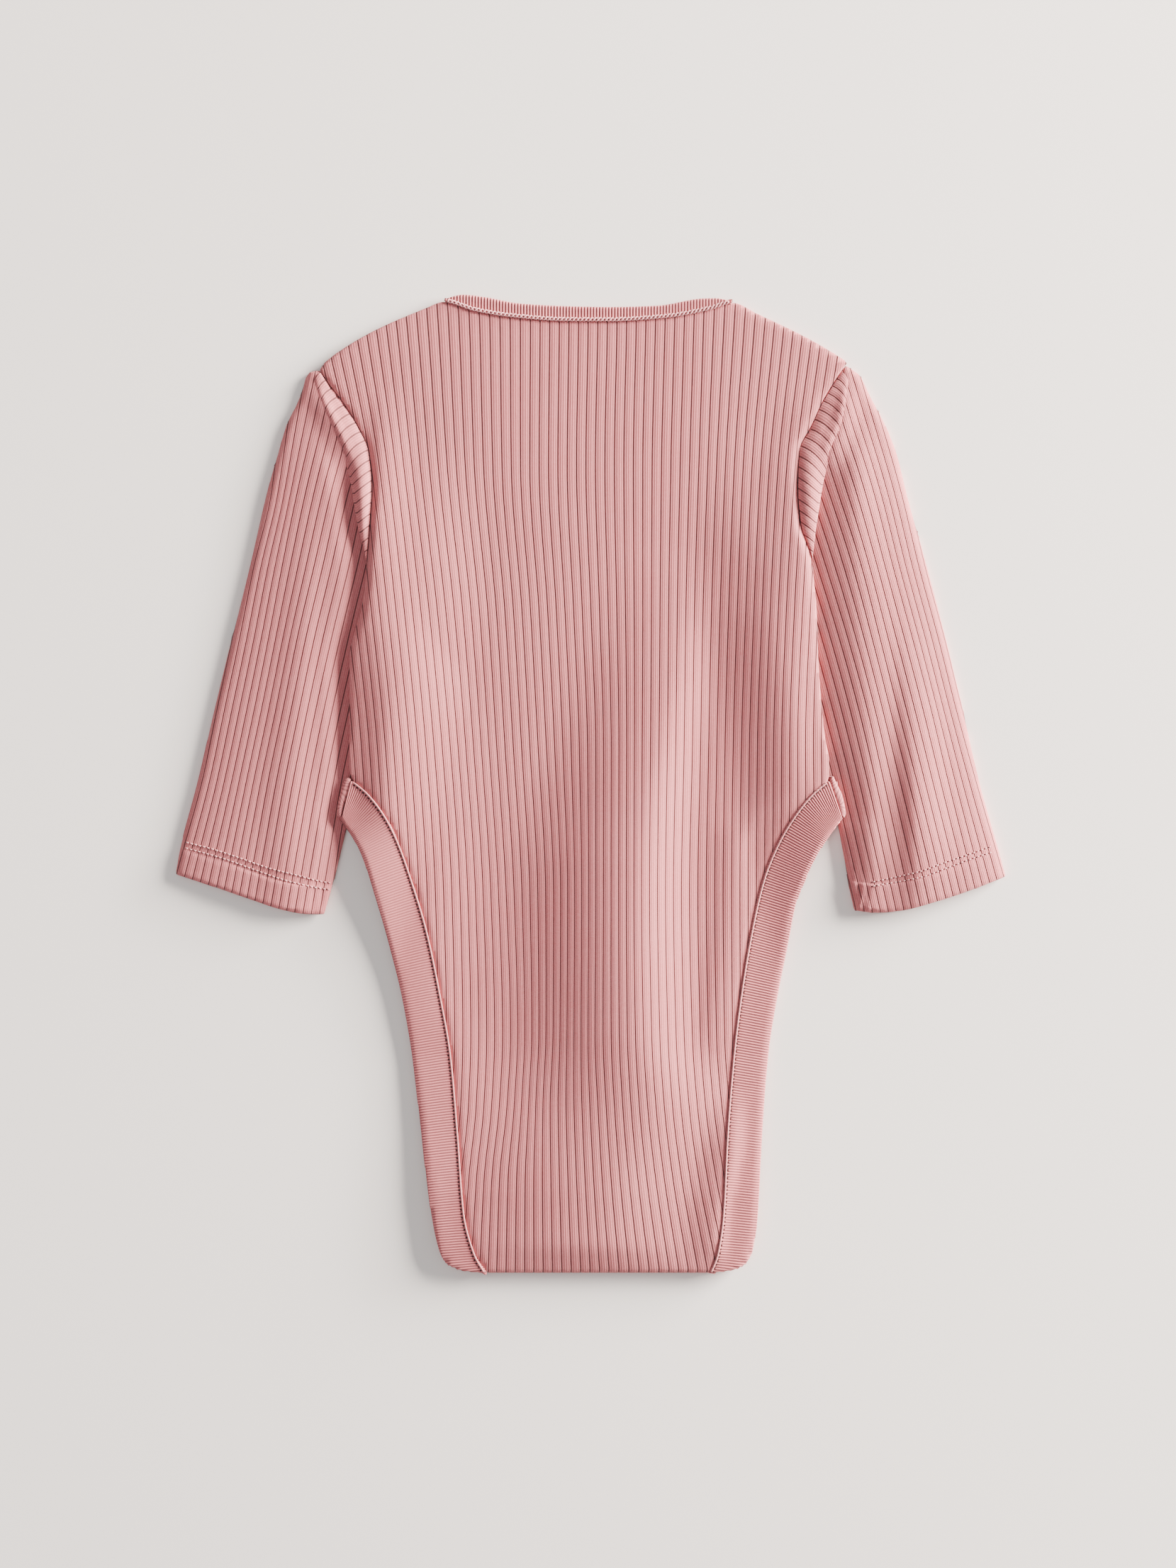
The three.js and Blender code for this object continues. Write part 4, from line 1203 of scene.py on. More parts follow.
@dataclass
class BackPanel:
    """The back of the body, down over the crotch fold to its flap.

    Attributes:
        neck_rows: The closer rows at the neck: first level, last level and how many.
        body_top: The level of the first row below them.
        row_step: From row to row down the body.
        turn_rows: Rows round the crotch fold.
        flap_rows: Rows under it.
        shares: Columns within each rib, close together at its grooves.
        guide: The column whose length the knit's rows follow.
        edge_drop: How far the upper face rolls down at its seams.
        edge_run: How wide that roll is.
    """

    neck_rows: tuple[float, float, int] = (238.0, 214.0, 16)
    body_top: float = 212.0
    row_step: float = 3.2
    turn_rows: int = 9
    flap_rows: int = 9
    shares: tuple[float, ...] = (0.0, 0.035, 0.07, 0.11, 0.5, 0.89, 0.93, 0.965)
    guide: int = 200
    edge_drop: float = 0.5
    edge_run: float = 2.0

    def path(self) -> tuple[np.ndarray, np.ndarray]:
        """Gives the rows: the level of each, and its turn round the crotch fold.

        Returns:
            Levels, and turns from 0, flat on top, to 1, flat under.
        """
        top = np.linspace(*self.neck_rows)
        fold_y = CROTCH_Y + self.fold_radius()
        rows = int((self.body_top - fold_y) / self.row_step)
        main = np.linspace(self.body_top, fold_y, rows)
        turn = np.linspace(0, 1, self.turn_rows)[1:]
        flap = np.linspace(fold_y, CROTCH_Y + FLAP_LENGTH, self.flap_rows)[1:]
        levels = np.concatenate([top, main, np.full(len(turn), fold_y), flap])
        turns = np.concatenate([np.zeros(len(top) + len(main)), turn, np.ones(len(flap))])
        return levels, turns

    def fold_radius(self) -> float:
        """Gives the radius of the crotch fold."""
        top = TAIL_LIFT + LAYER + REST_RELIEF + CLOTH + RIB_RISE
        return (top - FLAP_LOW) / 2

    def build(self) -> bpy.types.Object:
        """Makes the panel.

        Returns:
            The piece.
        """
        levels, turns = self.path()
        counts, level = np.meshgrid(rib_stations(*BACK_RIBS, self.shares), levels)
        turn = np.broadcast_to(turns[:, None], counts.shape)
        x = BACK_GROOVES.across(counts, level)
        rise = RIB_RISE * rib_profile(counts)
        top = FORM.back_low(x, level) + CLOTH + rise
        radius = self.fold_radius() - RIB_RISE + rise
        angle = math.pi * (0.5 - turn)
        centre = FLAP_LOW + self.fold_radius()
        y = np.where(turn > 0, level - radius * np.cos(angle), level)
        z = np.where(turn > 0, centre + radius * np.sin(angle), top)
        inside = np.minimum(x - SIDES[Side.LEFT](y), SIDES[Side.RIGHT](y) - x) - HALF_GAP
        above = TOP_EDGE(x) - HALF_GAP - y
        inside = np.where(turn > 0, inside, np.minimum(inside, above))
        edge = self.edge_drop * (1 - smooth(0, self.edge_run, inside))
        z = z - np.where(turn > 0, 0, edge)
        along = run_along(grid_of(y[:, self.guide], z[:, self.guide]))
        sheet = Sheet()
        places = grid_of(counts, np.broadcast_to(along[:, None], counts.shape))
        sheet.grid(grid_of(x, y, z), places, inside, SEAM_LIP)
        piece = sheet.build("back_panel_cloth", WIDE_KNIT, "rib_knit")
        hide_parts("back_panel")
        return piece


@dataclass(frozen=True)
class FrontNeck:
    """The front neck seam, a deep round line between the neck's two peaks.

    Attributes:
        middle: Its middle's x.
        half: Half its width.
        low: Its lowest level.
        high: The level of its two ends.
        power: How square it is.
        past: How far beyond its ends it is followed, as a share of its half.
    """

    middle: float = -0.6
    half: float = 69.4
    low: float = 177.0
    high: float = 231.4
    power: float = 2.6
    past: float = 1.2

    def level(self, x: np.ndarray) -> np.ndarray:
        """Gives the seam's level at each x."""
        across = np.clip(np.abs(x - self.middle) / self.half, 0, self.past)
        return self.low + (self.high - self.low) * across**self.power


FRONT_NECK = FrontNeck()


@dataclass
class FrontPanel:
    """The front of the body, face down on the floor.

    Attributes:
        top: The first row's level.
        row_step: From row to row.
        shares: Columns within each rib.
        neck_half: How far from the middle the neck seam cuts it.
        lift: How far its lowest points are above the form.
        rib_depth: The depth of its grooves, on the underside.
    """

    top: float = 234.0
    row_step: float = 5.0
    shares: tuple[float, ...] = (0.0, 0.08, 0.5, 0.92)
    neck_half: float = 79.0
    lift: float = 0.05
    rib_depth: float = 0.3

    def build(self) -> bpy.types.Object:
        """Makes the panel, its ribs on the underside.

        Returns:
            The piece.
        """
        levels = np.arange(self.top, FRONT_END - 0.01, -self.row_step)
        counts, y = np.meshgrid(rib_stations(*BACK_RIBS, self.shares), levels)
        x = BACK_GROOVES.across(counts, y)
        z = FORM.front_low(x, y) + self.rib_depth * (1 - rib_profile(counts)) + self.lift
        inset = FRONT_INSET * (1 - smooth(*FRONT_RUN, y)) + HALF_GAP
        inside = np.minimum(x - SIDES[Side.LEFT](y), SIDES[Side.RIGHT](y) - x) - inset
        inside = np.minimum(inside, TOP_EDGE(x) - HALF_GAP - y)
        below_neck = FRONT_NECK.level(x) - HALF_GAP - y
        inside = np.where(np.abs(x) < self.neck_half, np.minimum(inside, below_neck), inside)
        sheet = Sheet()
        sheet.grid(grid_of(x, y, z), grid_of(counts, y), inside, SEAM_LIP, flip=True)
        piece = sheet.build("front_panel_cloth", WIDE_KNIT, "rib_knit")
        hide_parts("front_panel")
        return piece


@dataclass
class LegBand:
    """A leg band at the back leg opening, in fine rib across.

    Attributes:
        side: Its side.
        pitch: From rib to rib.
        length: The band's length.
        width: Its width.
        steps: Rows to each rib.
        cloth: Its thickness up to the grooves.
        rise: Its ribs' height.
        edge_roll: How far its free edge rolls down, and over what width.
        seam_roll: The same beside the seam.
        crotch_clear: How far above the crotch its sewing stops.
        hip_clear: The level above which there is none.
        flap_inset: How far its turned part is inside its edge.
        flap_grid: That part's rows and columns.
        hole_pitch: From needle hole to needle hole.
        hole_start: Where the first one is.
        hole_radius: The radius of each one's painted shadow.
        hole_out: Their distance from the seam, and their height over the grooves.
        cord_radius: The radius of the cord over the seam.
        cord_out: The cord's distance from the seam, and its height.
        cord_bead: How much it swells at each stitch.
        shares: Columns from the seam to beyond the outer edge, close together at the edge.
    """

    side: Side
    pitch: float = 1.28
    length: float = 250.0
    width: float = 20.0
    steps: int = 4
    cloth: float = 1.6
    rise: float = 0.32
    edge_roll: tuple[float, float] = (0.6, 1.6)
    seam_roll: tuple[float, float] = (0.25, 1.5)
    crotch_clear: float = 0.8
    hip_clear: float = 1.2
    flap_inset: float = 1.2
    flap_grid: tuple[int, int] = (60, 7)
    hole_pitch: float = 1.9
    hole_start: float = 0.8
    hole_radius: float = 0.5
    hole_out: tuple[float, float] = (1.3, 0.24)
    cord_radius: float = 0.45
    cord_out: tuple[float, float] = (0.45, 0.2)
    cord_bead: float = 0.1
    shares: tuple[float, ...] = (
        -0.06, 0.0, 0.03, 0.1, 0.25, 0.4, 0.55, 0.7, 0.82, 0.87, 0.91, 0.94, 0.97, 1.0,
        1.03, 1.06, 1.1, 1.15, 1.2, 1.26, 1.32,
    )

    def rails(self, count: int) -> tuple[np.ndarray, np.ndarray]:
        """Gives matching points along the band's seam and its outer edge.

        Args:
            count: How many steps along.

        Returns:
            Points of the seam and of the outer edge, in millimetres.
        """
        rungs = np.array(BAND_RUNGS[self.side], float)
        run = run_along(rungs[:, :2])
        at = np.linspace(0, run[-1], count + 1)
        lines = [Curve(run, rungs[:, k])(at) for k in range(4)]
        return np.stack(lines[:2], -1), np.stack(lines[2:], -1)

    def height(self, x: np.ndarray, y: np.ndarray) -> np.ndarray:
        """Gives the groove floors of the band, before its edges roll down."""
        return FORM.front_low(x, y) + FORM.relief(x, y) + LAYER + self.cloth

    def build(self) -> bpy.types.Object:
        """Makes the band.

        Returns:
            The piece.
        """
        count = int(self.length / self.pitch) * self.steps
        seam, outer = self.rails(count)
        rib = np.arange(count + 1)[:, None] / self.steps
        share = np.array(self.shares)
        point = seam[:, None] + (outer - seam)[:, None] * share[None, :, None]
        x, y = point[..., 0], point[..., 1]
        free = np.minimum(np.abs(both(BAND_EDGE, x, y)) - np.abs(x), y - CROTCH_Y)
        from_seam = np.abs(x) - np.abs(both(SIDES, x, y)) - HALF_GAP
        z = self.height(x, y) + self.rise * (0.5 - 0.5 * np.cos(2 * math.pi * rib))
        for (drop, run), within in ((self.edge_roll, free), (self.seam_roll, from_seam)):
            z = z - drop * (1 - smooth(0, run, within))
        inside = np.minimum(np.minimum(free, from_seam), HIP_Y - y)
        places = grid_of(np.broadcast_to(rib, x.shape), share[None, :] * self.width)
        sheet = Sheet()
        flip = self.side is Side.LEFT
        sheet.grid(grid_of(x, y, z), places, inside, BAND_LIP, flip=flip)
        self._flap(sheet)
        name = f"leg_band_back_{self.side.word}"
        piece = sheet.build(f"{name}_cloth", BAND_KNIT, "band_knit")
        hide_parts(name)
        self._sewing()
        return piece

    def _seam(self, outward: float, rise: float, count: int = 900) -> np.ndarray:
        """Gives a line along the band beside its seam, on its upper face.

        Args:
            outward: The line's distance from the seam.
            rise: Its height over the band's grooves.
            count: How many steps along.

        Returns:
            The line's points.
        """
        seam = self.rails(count)[0]
        seam = seam[(seam[:, 1] < self.hip_clear) & (seam[:, 1] > CROTCH_Y + self.crotch_clear)]
        tangent = np.gradient(seam, axis=0)
        tangent /= np.linalg.norm(tangent, axis=1)[:, None]
        out = self.side.value * np.stack([-tangent[:, 1], tangent[:, 0]], -1)
        x, y = (seam + out * outward).T
        drop, run = self.edge_roll
        z = self.height(x, y) - drop * (1 - smooth(0, run, y - CROTCH_Y))
        return np.stack([x, y, z + rise], -1)

    def _sewing(self) -> list[bpy.types.Object]:
        """Makes the cord over the seam and the painted shadows of the needle holes beside it.

        Returns:
            The cord and the painted hole shadows.
        """
        word = self.side.word
        path = self._seam(*self.cord_out)
        run = run_along(path)
        bead = 1 + self.cord_bead * np.cos(2 * math.pi * run / self.hole_pitch)
        sheet = Sheet()
        Thread(self.cord_radius, 8).lay(sheet, path, bead)
        cord = sheet.build(f"leg_cord_{word}", CORD, "band_knit")
        # Painted shadows of the needle holes beside the cord, as small dark discs.
        at = np.arange(self.hole_start, run[-1], self.hole_pitch)
        holes = points_at(at, run, self._seam(*self.hole_out))
        name = f"leg_band_needle_holes_{word}"
        return [cord, NeedleHoleShadows(self.hole_radius).build(name, holes, "band_knit")]

    def _flap(self, sheet: Sheet) -> None:
        """Adds the part of the band that is turned under with the flap.

        Args:
            sheet: The band being built.
        """
        rows, columns = self.flap_grid
        levels = np.linspace(CROTCH_Y + self.crotch_clear, CROTCH_Y + FLAP_LENGTH, rows)
        share, y = np.meshgrid(np.linspace(0, 1, columns), levels)
        inner = SIDES[self.side](y) + self.side.value * HALF_GAP
        outer = BAND_EDGE[self.side](y) - self.side.value * self.flap_inset
        x = inner + (outer - inner) * share
        z = FLAP_LOW + HIDDEN_RIB * (1 + np.cos(2 * math.pi * y / self.pitch))
        places = grid_of(y / self.pitch, share * self.width)
        sheet.grid(grid_of(x, y, z), places, None, FREE_LIP, self.side is Side.LEFT)


@dataclass
class FrontLegBand:
    """A leg band at the front, hidden but for its turned end at the hip.

    Attributes:
        side: Its side.
        pitch: From rib to rib.
        width: Its width.
        inset: How far its free edge is inside the back band's.
        inset_run: Levels between which that comes to nothing.
        hip_low: The level above which its edge goes straight up to the hip.
        hip_edge: That edge's x at level 0, and how far it moves out for each step down.
        end_width: The turned end's width.
        end_low: The height of the turned end's sides.
        end_round: How far its middle stands over them.
        end_ribs: Its ribs to each of its points, and their height.
        grid: The band's rows and columns.
        end_grid: The turned end's rows and columns.
    """

    side: Side
    pitch: float = 1.28
    width: float = 16.0
    inset: float = 4.0
    inset_run: tuple[float, float] = (-30.0, -18.0)
    hip_low: float = -17.5
    hip_edge: tuple[float, float] = (118.6, 0.06)
    end_width: float = 6.0
    end_low: float = 1.9
    end_round: float = 1.1
    end_ribs: tuple[float, float] = (3.4, 0.12)
    grid: tuple[int, int] = (190, 9)
    end_grid: tuple[int, int] = (33, 9)

    def build(self) -> bpy.types.Object:
        """Makes the band and its turned end.

        Returns:
            The piece.
        """
        sheet = Sheet()
        sign = self.side.value
        rows, columns = self.grid
        levels = np.linspace(HIP_Y, FRONT_END, rows)
        share, y = np.meshgrid(np.linspace(0, 1, columns), levels)
        inset = FRONT_INSET * (1 - smooth(*FRONT_RUN, y)) - HALF_GAP
        seam = SIDES[self.side](y) - sign * inset
        edge = BAND_EDGE[self.side](np.minimum(y, self.hip_low))
        outer = edge - sign * self.inset * (1 - smooth(*self.inset_run, y))
        hip_x, slope = self.hip_edge
        outer = np.where(y > self.hip_low, sign * (hip_x - slope * y), outer)
        x = seam + (outer - seam) * share
        ribs = 1 + np.cos(2 * math.pi * y / self.pitch)
        z = FORM.front_low(x, y) + HIDDEN_RIB * ribs
        flip = self.side is Side.RIGHT
        places = grid_of(y / self.pitch, share * self.width)
        sheet.grid(grid_of(x, y, z), places, None, FREE_LIP, flip)
        self._turned_end(sheet)
        name = f"leg_band_front_{self.side.word}"
        piece = sheet.build(f"{name}_cloth", BAND_KNIT, "band_knit")
        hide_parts(name)
        return piece

    def _turned_end(self, sheet: Sheet) -> None:
        """Adds the rolled end that stands out past the hip seam.

        Args:
            sheet: The band being built.
        """
        hip = HIP_ENDS[self.side]
        rows, columns = self.end_grid
        at = np.linspace(0, 4, rows)[:, None]
        sides = (hip[1:6], (hip[0], hip[8], hip[7], hip[7], hip[6]))
        (outer_x, outer_y), (inner_x, inner_y) = (
            [Curve(range(5), track)(at) for track in zip(*points)] for points in sides
        )
        share = np.linspace(0, 1, columns)[None, :]
        x = inner_x + (outer_x - inner_x) * share
        y = inner_y + (outer_y - inner_y) * share
        round_top = np.sqrt(np.clip(1 - (2 * share - 1) ** 2, 0, 1))
        count, rise = self.end_ribs
        z = FORM.front_low(x, y) + self.end_low + self.end_round * round_top
        z = z + rise * np.cos(2 * math.pi * at * count)
        places = grid_of(np.broadcast_to(at * count, x.shape), share * self.end_width)
        sheet.grid(grid_of(x, y, z), places, None, END_LIP, self.side is Side.LEFT)


@dataclass
class NeckBand:
    """The narrow band round the neck: fine rib, its edge folded over.

    Attributes:
        pitch: From rib to rib.
        steps: Columns to each rib.
        ends: X of the back band's two ends.
        cloth: Its thickness up to the grooves.
        rise: Its ribs' height.
        sharpness: How narrow its grooves are, from 1 down.
        round_from: The share of its width from which it rounds over.
        round_width: The width from which it does so fully, because its ends run to nothing.
        seam_roll: How far it rolls down at the seam, and over what share of its width.
        width: The front band's width.
        front_in: How far the front band's upper ends lie inside the seam's.
        front_up: How far they lie above them.
        front_low: The front band's height over the floor.
        front_knit: Millimetres of knit across it.
        front_grid: Its rows and columns.
        chain_ends: X of the chain stitch's two ends.
        chain_step: From point to point of its thread.
        chain_pitch: From loop to loop.
        chain_reach: Half its width.
        chain_out: Its distance from the seam.
        chain_lift: Its height over the band's grooves, and how far its two threads cross.
        chain_thread: Its thread's radius, and how much that swells at each loop.
        shares: Columns across the band.
    """

    pitch: float = 1.45
    steps: int = 6
    ends: tuple[float, float] = (-70.0, 68.4)
    cloth: float = 1.5
    rise: float = 0.35
    sharpness: float = 0.7
    round_from: float = 0.8
    round_width: float = 4.0
    seam_roll: tuple[float, float] = (0.3, 0.1)
    width: float = 8.2
    front_in: float = 8.4
    front_up: float = 2.6
    front_low: float = 0.15
    front_knit: float = 8.0
    front_grid: tuple[int, int] = (721, 7)
    chain_ends: tuple[float, float] = (-68.6, 66.8)
    chain_step: float = 0.3
    chain_pitch: float = 3.9
    chain_reach: float = 0.75
    chain_out: float = 0.35
    chain_lift: tuple[float, float] = (0.55, 0.25)
    chain_thread: tuple[float, float] = (0.36, 0.15)
    shares: tuple[float, ...] = (0.0, 0.04, 0.12, 0.3, 0.5, 0.7, 0.85, 0.93, 0.98, 1.0)

    def build(self) -> bpy.types.Object:
        """Makes the band's back and front.

        Returns:
            The piece.
        """
        sheet = Sheet()
        low, high = self.ends
        count = int((high - low) / self.pitch) * self.steps
        x = np.linspace(low, high, count + 1)
        share = np.array(self.shares)
        seam, edge = TOP_EDGE(x) + HALF_GAP, NECK_TOP(x)
        y = seam[:, None] + (edge - seam)[:, None] * share[None]
        rib = 0.5 - 0.5 * np.cos(2 * math.pi * np.arange(count + 1) / self.steps)
        rib = self.rise * rib**self.sharpness
        tall = smooth(0, self.round_width, edge - seam)[:, None]
        over = np.clip((share - self.round_from) / (1 - self.round_from), 0, 1)
        drop, run = self.seam_roll
        z = LAYER + REST_RELIEF + self.cloth + rib[:, None]
        z = z - (1 - np.sqrt(1 - over**2)) * tall - drop * (1 - smooth(0, run, share))
        across = np.broadcast_to(x[:, None], y.shape)
        sheet.grid(grid_of(across, y, z), grid_of(across / self.pitch, y), None, NECK_LIP)
        self._front(sheet)
        piece = sheet.build("neck_band_cloth", BAND_KNIT, "band_knit")
        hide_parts("neck_band")
        self._chain()
        return piece

    def _chain(self) -> bpy.types.Object:
        """Makes the chain of cover stitches along the band's lower edge.

        Returns:
            The chain's two threads.
        """
        sheet = Sheet()
        x = np.arange(*self.chain_ends, self.chain_step)
        lift, cross = self.chain_lift
        radius, swell = self.chain_thread
        for turn in (0.0, math.pi):
            phase = 2 * math.pi * x / self.chain_pitch + turn
            y = TOP_EDGE(x) + self.chain_out + self.chain_reach * np.sin(phase)
            z = LAYER + REST_RELIEF + self.cloth + lift + cross * np.cos(phase)
            Thread(radius).lay(sheet, grid_of(x, y, z), 1 + swell * np.cos(2 * phase))
        return sheet.build("neck_chain_stitch", THREAD, "band_knit")

    def _front(self, sheet: Sheet) -> None:
        """Adds the deeper front of the band, on the floor.

        Args:
            sheet: The band being built.
        """
        rows, columns = self.front_grid
        at = np.linspace(1, -1, rows)[:, None]
        share = np.linspace(0, 1, columns)[None, :]
        half = FRONT_NECK.half - self.front_in * (1 - share)
        rim = FRONT_NECK.high + self.front_up * (1 - share)
        bottom = FRONT_NECK.low + self.width * (1 - share)
        x = FRONT_NECK.middle + at * half
        y = bottom + (rim - bottom) * np.abs(at) ** FRONT_NECK.power
        run = run_along(grid_of(x[:, 3], y[:, 3]))[:, None] / self.pitch
        z = self.front_low + HIDDEN_RIB * np.cos(2 * math.pi * run) + 0 * share
        places = grid_of(np.broadcast_to(run, x.shape), share * self.front_knit)
        sheet.grid(grid_of(x, y, z), places, None, FRONT_NECK_LIP, flip=True)


@dataclass
class Sleeve:
    """A flattened sleeve with its hem, and the folded strip beside its armhole seam.

    Attributes with two values by side give the left sleeve's first.

    Attributes:
        side: Its side.
        length: How far it is followed up from its hem.
        floor_wall: The lower layer's thickness.
        floor_face: Its height over the floor, and the depth of its grooves.
        floor_shares: Its columns within each rib.
        hollow: The air between its layers.
        hem_depth: The depth of the turned hem.
        hem_rise: How much thicker the hem is.
        hem_rows: Runs of rows at the hem: first, last and how many.
        main_row: The first row above them.
        ribs: Its first and last groove, counted from the outer fold.
        row_step: From row to row.
        shares: Columns within each rib, close together at its grooves.
        fold_run: How far from the outer fold the folds along the sleeve take to rise.
        puff: How far the upper layer stands up, by side.
        puff_run: How far from the outer fold that takes, by side.
        puff_low: Its share at the cuff, and the levels between which it grows.
        puff_top: Levels between which it comes to nothing.
        puff_valley: On the left, how far from the body it takes.
        puff_reach: The same on the right, where the cloth rises steeply and levels off.
        puff_clear: How far past what covers the sleeve that starts.
        edge_change: Levels between which the body's edge gives way to the armhole strip's.
        shoulder_rise: The height of the swell outside the strip's upper end.
        shoulder_run: How far in and out from the strip's edge it goes.
        shoulder_fades: Levels between which it grows, and comes to nothing.
        pucker_pitch: From small fold to small fold at the cuff's inner corner.
        pucker_rise: Their height, by side.
        pucker_slant: How far across they move for each step up.
        pucker_across: Distance from the inner fold over which they grow, and the two between
            which they come to nothing.
        pucker_along: Heights over the hem between which they come to nothing.
        edge_roll: How far the upper layer rolls down at the outer fold, and over what width.
        rim: The radius to which its border is rounded, and its depth.
        tip: The level at which the shoulder's edge starts, by side.
        tip_x: How far from the middle that is, by side.
        tip_fall: How far it falls in tip_span.
        tip_span: That distance out.
        ridge: The strip's height along its fold edge.
        ridge_fades: Levels between which it grows, and comes to nothing.
        strip_low: The level of its lowest rib.
        strip_top: The level of its highest rib.
        strip_pitch: From rib to rib.
        strip_slant: How steeply its ribs run up to the seam.
        strip_run: How far past the fold it goes on above.
        strip_bend: How far its ribs bend there, as a share of its width.
        strip_lean: How much they lean outwards.
        strip_settle: Levels between which it stops being turned over and rolls softly down.
        strip_shares: Columns from the seam to its end.
        strip_arch: The part of a half circle that its turned part follows: start and length.
        strip_over: Its height over the sleeve where it is rolled, how much lower its end is,
            and the share of its width from which it falls.
        strip_blend: Shares of its width between which the rolled part comes to that height.
        strip_swell: The rolled part's swell, as a share of the ridge, and how much of its
            width that takes.
        strip_edge: Rings of its turned edge: out and down.
        strip_least: The share of their depth that is left where it is rolled.
        seam_low: The armhole seam's lowest level.
        seam_roll: How far the strip dips at the seam, and over what share of its width.
        stitch_radius: The hem thread's radius.
        stitch: From stitch to stitch, and each one's length.
        stitch_sink: How far the thread sinks into the ribs.
        hole_radius: The radius of a needle hole's painted shadow.
    """

    side: Side
    length: float = 262.0
    floor_wall: float = 1.2
    floor_face: tuple[float, float] = (0.05, 0.2)
    floor_shares: tuple[float, ...] = (0.0, 0.1, 0.5, 0.9)
    hollow: float = 0.4
    hem_depth: float = 14.0
    hem_rise: float = 0.5
    hem_rows: tuple[tuple[float, float, int], ...] = ((-1, 3, 6), (4.5, 12.5, 6), (13.2, 14.6, 4))
    main_row: float = 17.0
    ribs: tuple[int, int] = (-2, 23)
    row_step: float = 3.0
    shares: tuple[float, ...] = (0.0, 0.035, 0.07, 0.11, 0.5, 0.89, 0.93, 0.965)
    fold_run: float = 10.0
    puff: tuple[float, float] = (3.2, 3.7)
    puff_run: tuple[float, float] = (50.0, 34.0)
    puff_low: tuple[float, float, float] = (0.4, -75.0, -30.0)
    puff_top: tuple[float, float] = (150.0, 190.0)
    puff_valley: float = 12.0
    puff_reach: float = 22.0
    puff_clear: float = 1.0
    edge_change: tuple[float, float] = (94.0, 118.0)
    shoulder_rise: float = 2.2
    shoulder_run: tuple[float, float] = (5.0, 11.0)
    shoulder_fades: tuple[float, float, float, float] = (142.0, 162.0, 178.0, 196.0)
    pucker_pitch: float = 4.2
    pucker_rise: tuple[float, float] = (0.25, 0.9)
    pucker_slant: float = 0.35
    pucker_across: tuple[float, float, float] = (1.5, 4.0, 11.0)
    pucker_along: tuple[float, float] = (10.0, 24.0)
    edge_roll: tuple[float, float] = (0.5, 3.5)
    rim: tuple[float, float] = (2.2, 1.1)
    tip: tuple[float, float] = (199.0, 202.0)
    tip_x: tuple[float, float] = (130.0, 122.0)
    tip_fall: float = 197.7
    tip_span: float = 6.0
    ridge: float = 3.2
    ridge_fades: tuple[float, float, float, float] = (106, 138, 158, 187)
    strip_low: float = 103.0
    strip_top: float = 196.0
    strip_pitch: float = 4.7
    strip_slant: float = 0.78
    strip_run: float = 4.0
    strip_bend: float = 0.3
    strip_lean: float = 0.3
    strip_settle: tuple[float, float] = (138.0, 166.0)
    strip_shares: tuple[float, ...] = (0.0, 0.05, 0.15, 0.3, 0.45, 0.6, 0.72, 0.82, 0.92, 1.0)
    strip_arch: tuple[float, float] = (0.05, 0.75)
    strip_over: tuple[float, float, float] = (0.5, 0.9, 0.55)
    strip_blend: tuple[float, float] = (-0.2, 0.55)
    strip_swell: tuple[float, float] = (0.5, 0.8)
    strip_edge: tuple[tuple[float, float], ...] = (
        (0.9, 0.7), (1.2, 1.6), (0.9, 2.6), (-0.4, 3.4), (-2.5, 4.2),
    )
    strip_least: float = 0.1
    seam_low: float = 108.2
    seam_roll: tuple[float, float] = (0.4, 0.12)
    stitch_radius: float = 0.34
    stitch: tuple[float, float] = (2.1, 1.3)
    stitch_sink: float = 0.02
    hole_radius: float = 0.4

    def relief(self, x: np.ndarray, y: np.ndarray) -> np.ndarray:
        """Gives the height of the sleeve's soft folds.

        Args:
            x: Places across.
            y: Places along.

        Returns:
            The height at each place, in millimetres.
        """
        outer = np.abs(SLEEVE_OUTER[self.side](y)) - np.abs(x)
        inner = np.abs(x) - np.abs(SLEEVE_INNER[self.side](np.minimum(y, FORM.inner_reach)))
        share, *levels = self.puff_low
        run = (share + (1 - share) * smooth(*levels, y)) * (1 - smooth(*self.puff_top, y))
        crown = 1 - (1 - np.clip(outer / self.puff_run[self.side.index], 0, 1)) ** 2
        folds = fold_height(SLEEVE_FOLDS[self.side], x, y) * smooth(0, self.fold_run, outer)
        puffed = folds + self.puff[self.side.index] * run * crown
        uncovered = np.abs(x) - self._edge(y) - self.puff_clear
        puffed = puffed * self._beside(np.minimum(uncovered, inner))
        past = np.abs(x) - np.abs(RIDGE_EDGE[self.side](y))
        low, low_full, full, high = self.shoulder_fades
        inward, outward = self.shoulder_run
        slope = smooth(-inward, 0, past) * (1 - smooth(0, outward, past))
        shoulder = slope * smooth(low, low_full, y) * (1 - smooth(full, high, y))
        return puffed + self.shoulder_rise * shoulder + self.pucker(x, y)

    def _edge(self, y: np.ndarray) -> np.ndarray:
        """Gives how far from the middle the body, or the armhole strip above, covers it.

        Args:
            y: Places along.

        Returns:
            The distance at each place.
        """
        below, above = self.edge_change
        share = smooth(below, above, y)
        edge = np.abs(BODY_EDGE[self.side](np.minimum(y, below))) * (1 - share)
        return edge + np.abs(RIDGE_EDGE[self.side](np.maximum(y, ARMHOLE_Y))) * share

    def _beside(self, past: np.ndarray) -> np.ndarray:
        """Gives how far the upper layer has risen at a distance past what covers it.

        Args:
            past: Distances past it.

        Returns:
            The rise, from 0 to 1.
        """
        if self.side is Side.LEFT:
            return smooth(0, self.puff_valley, past)
        return 1 - (1 - np.clip(past / self.puff_reach, 0, 1)) ** 2

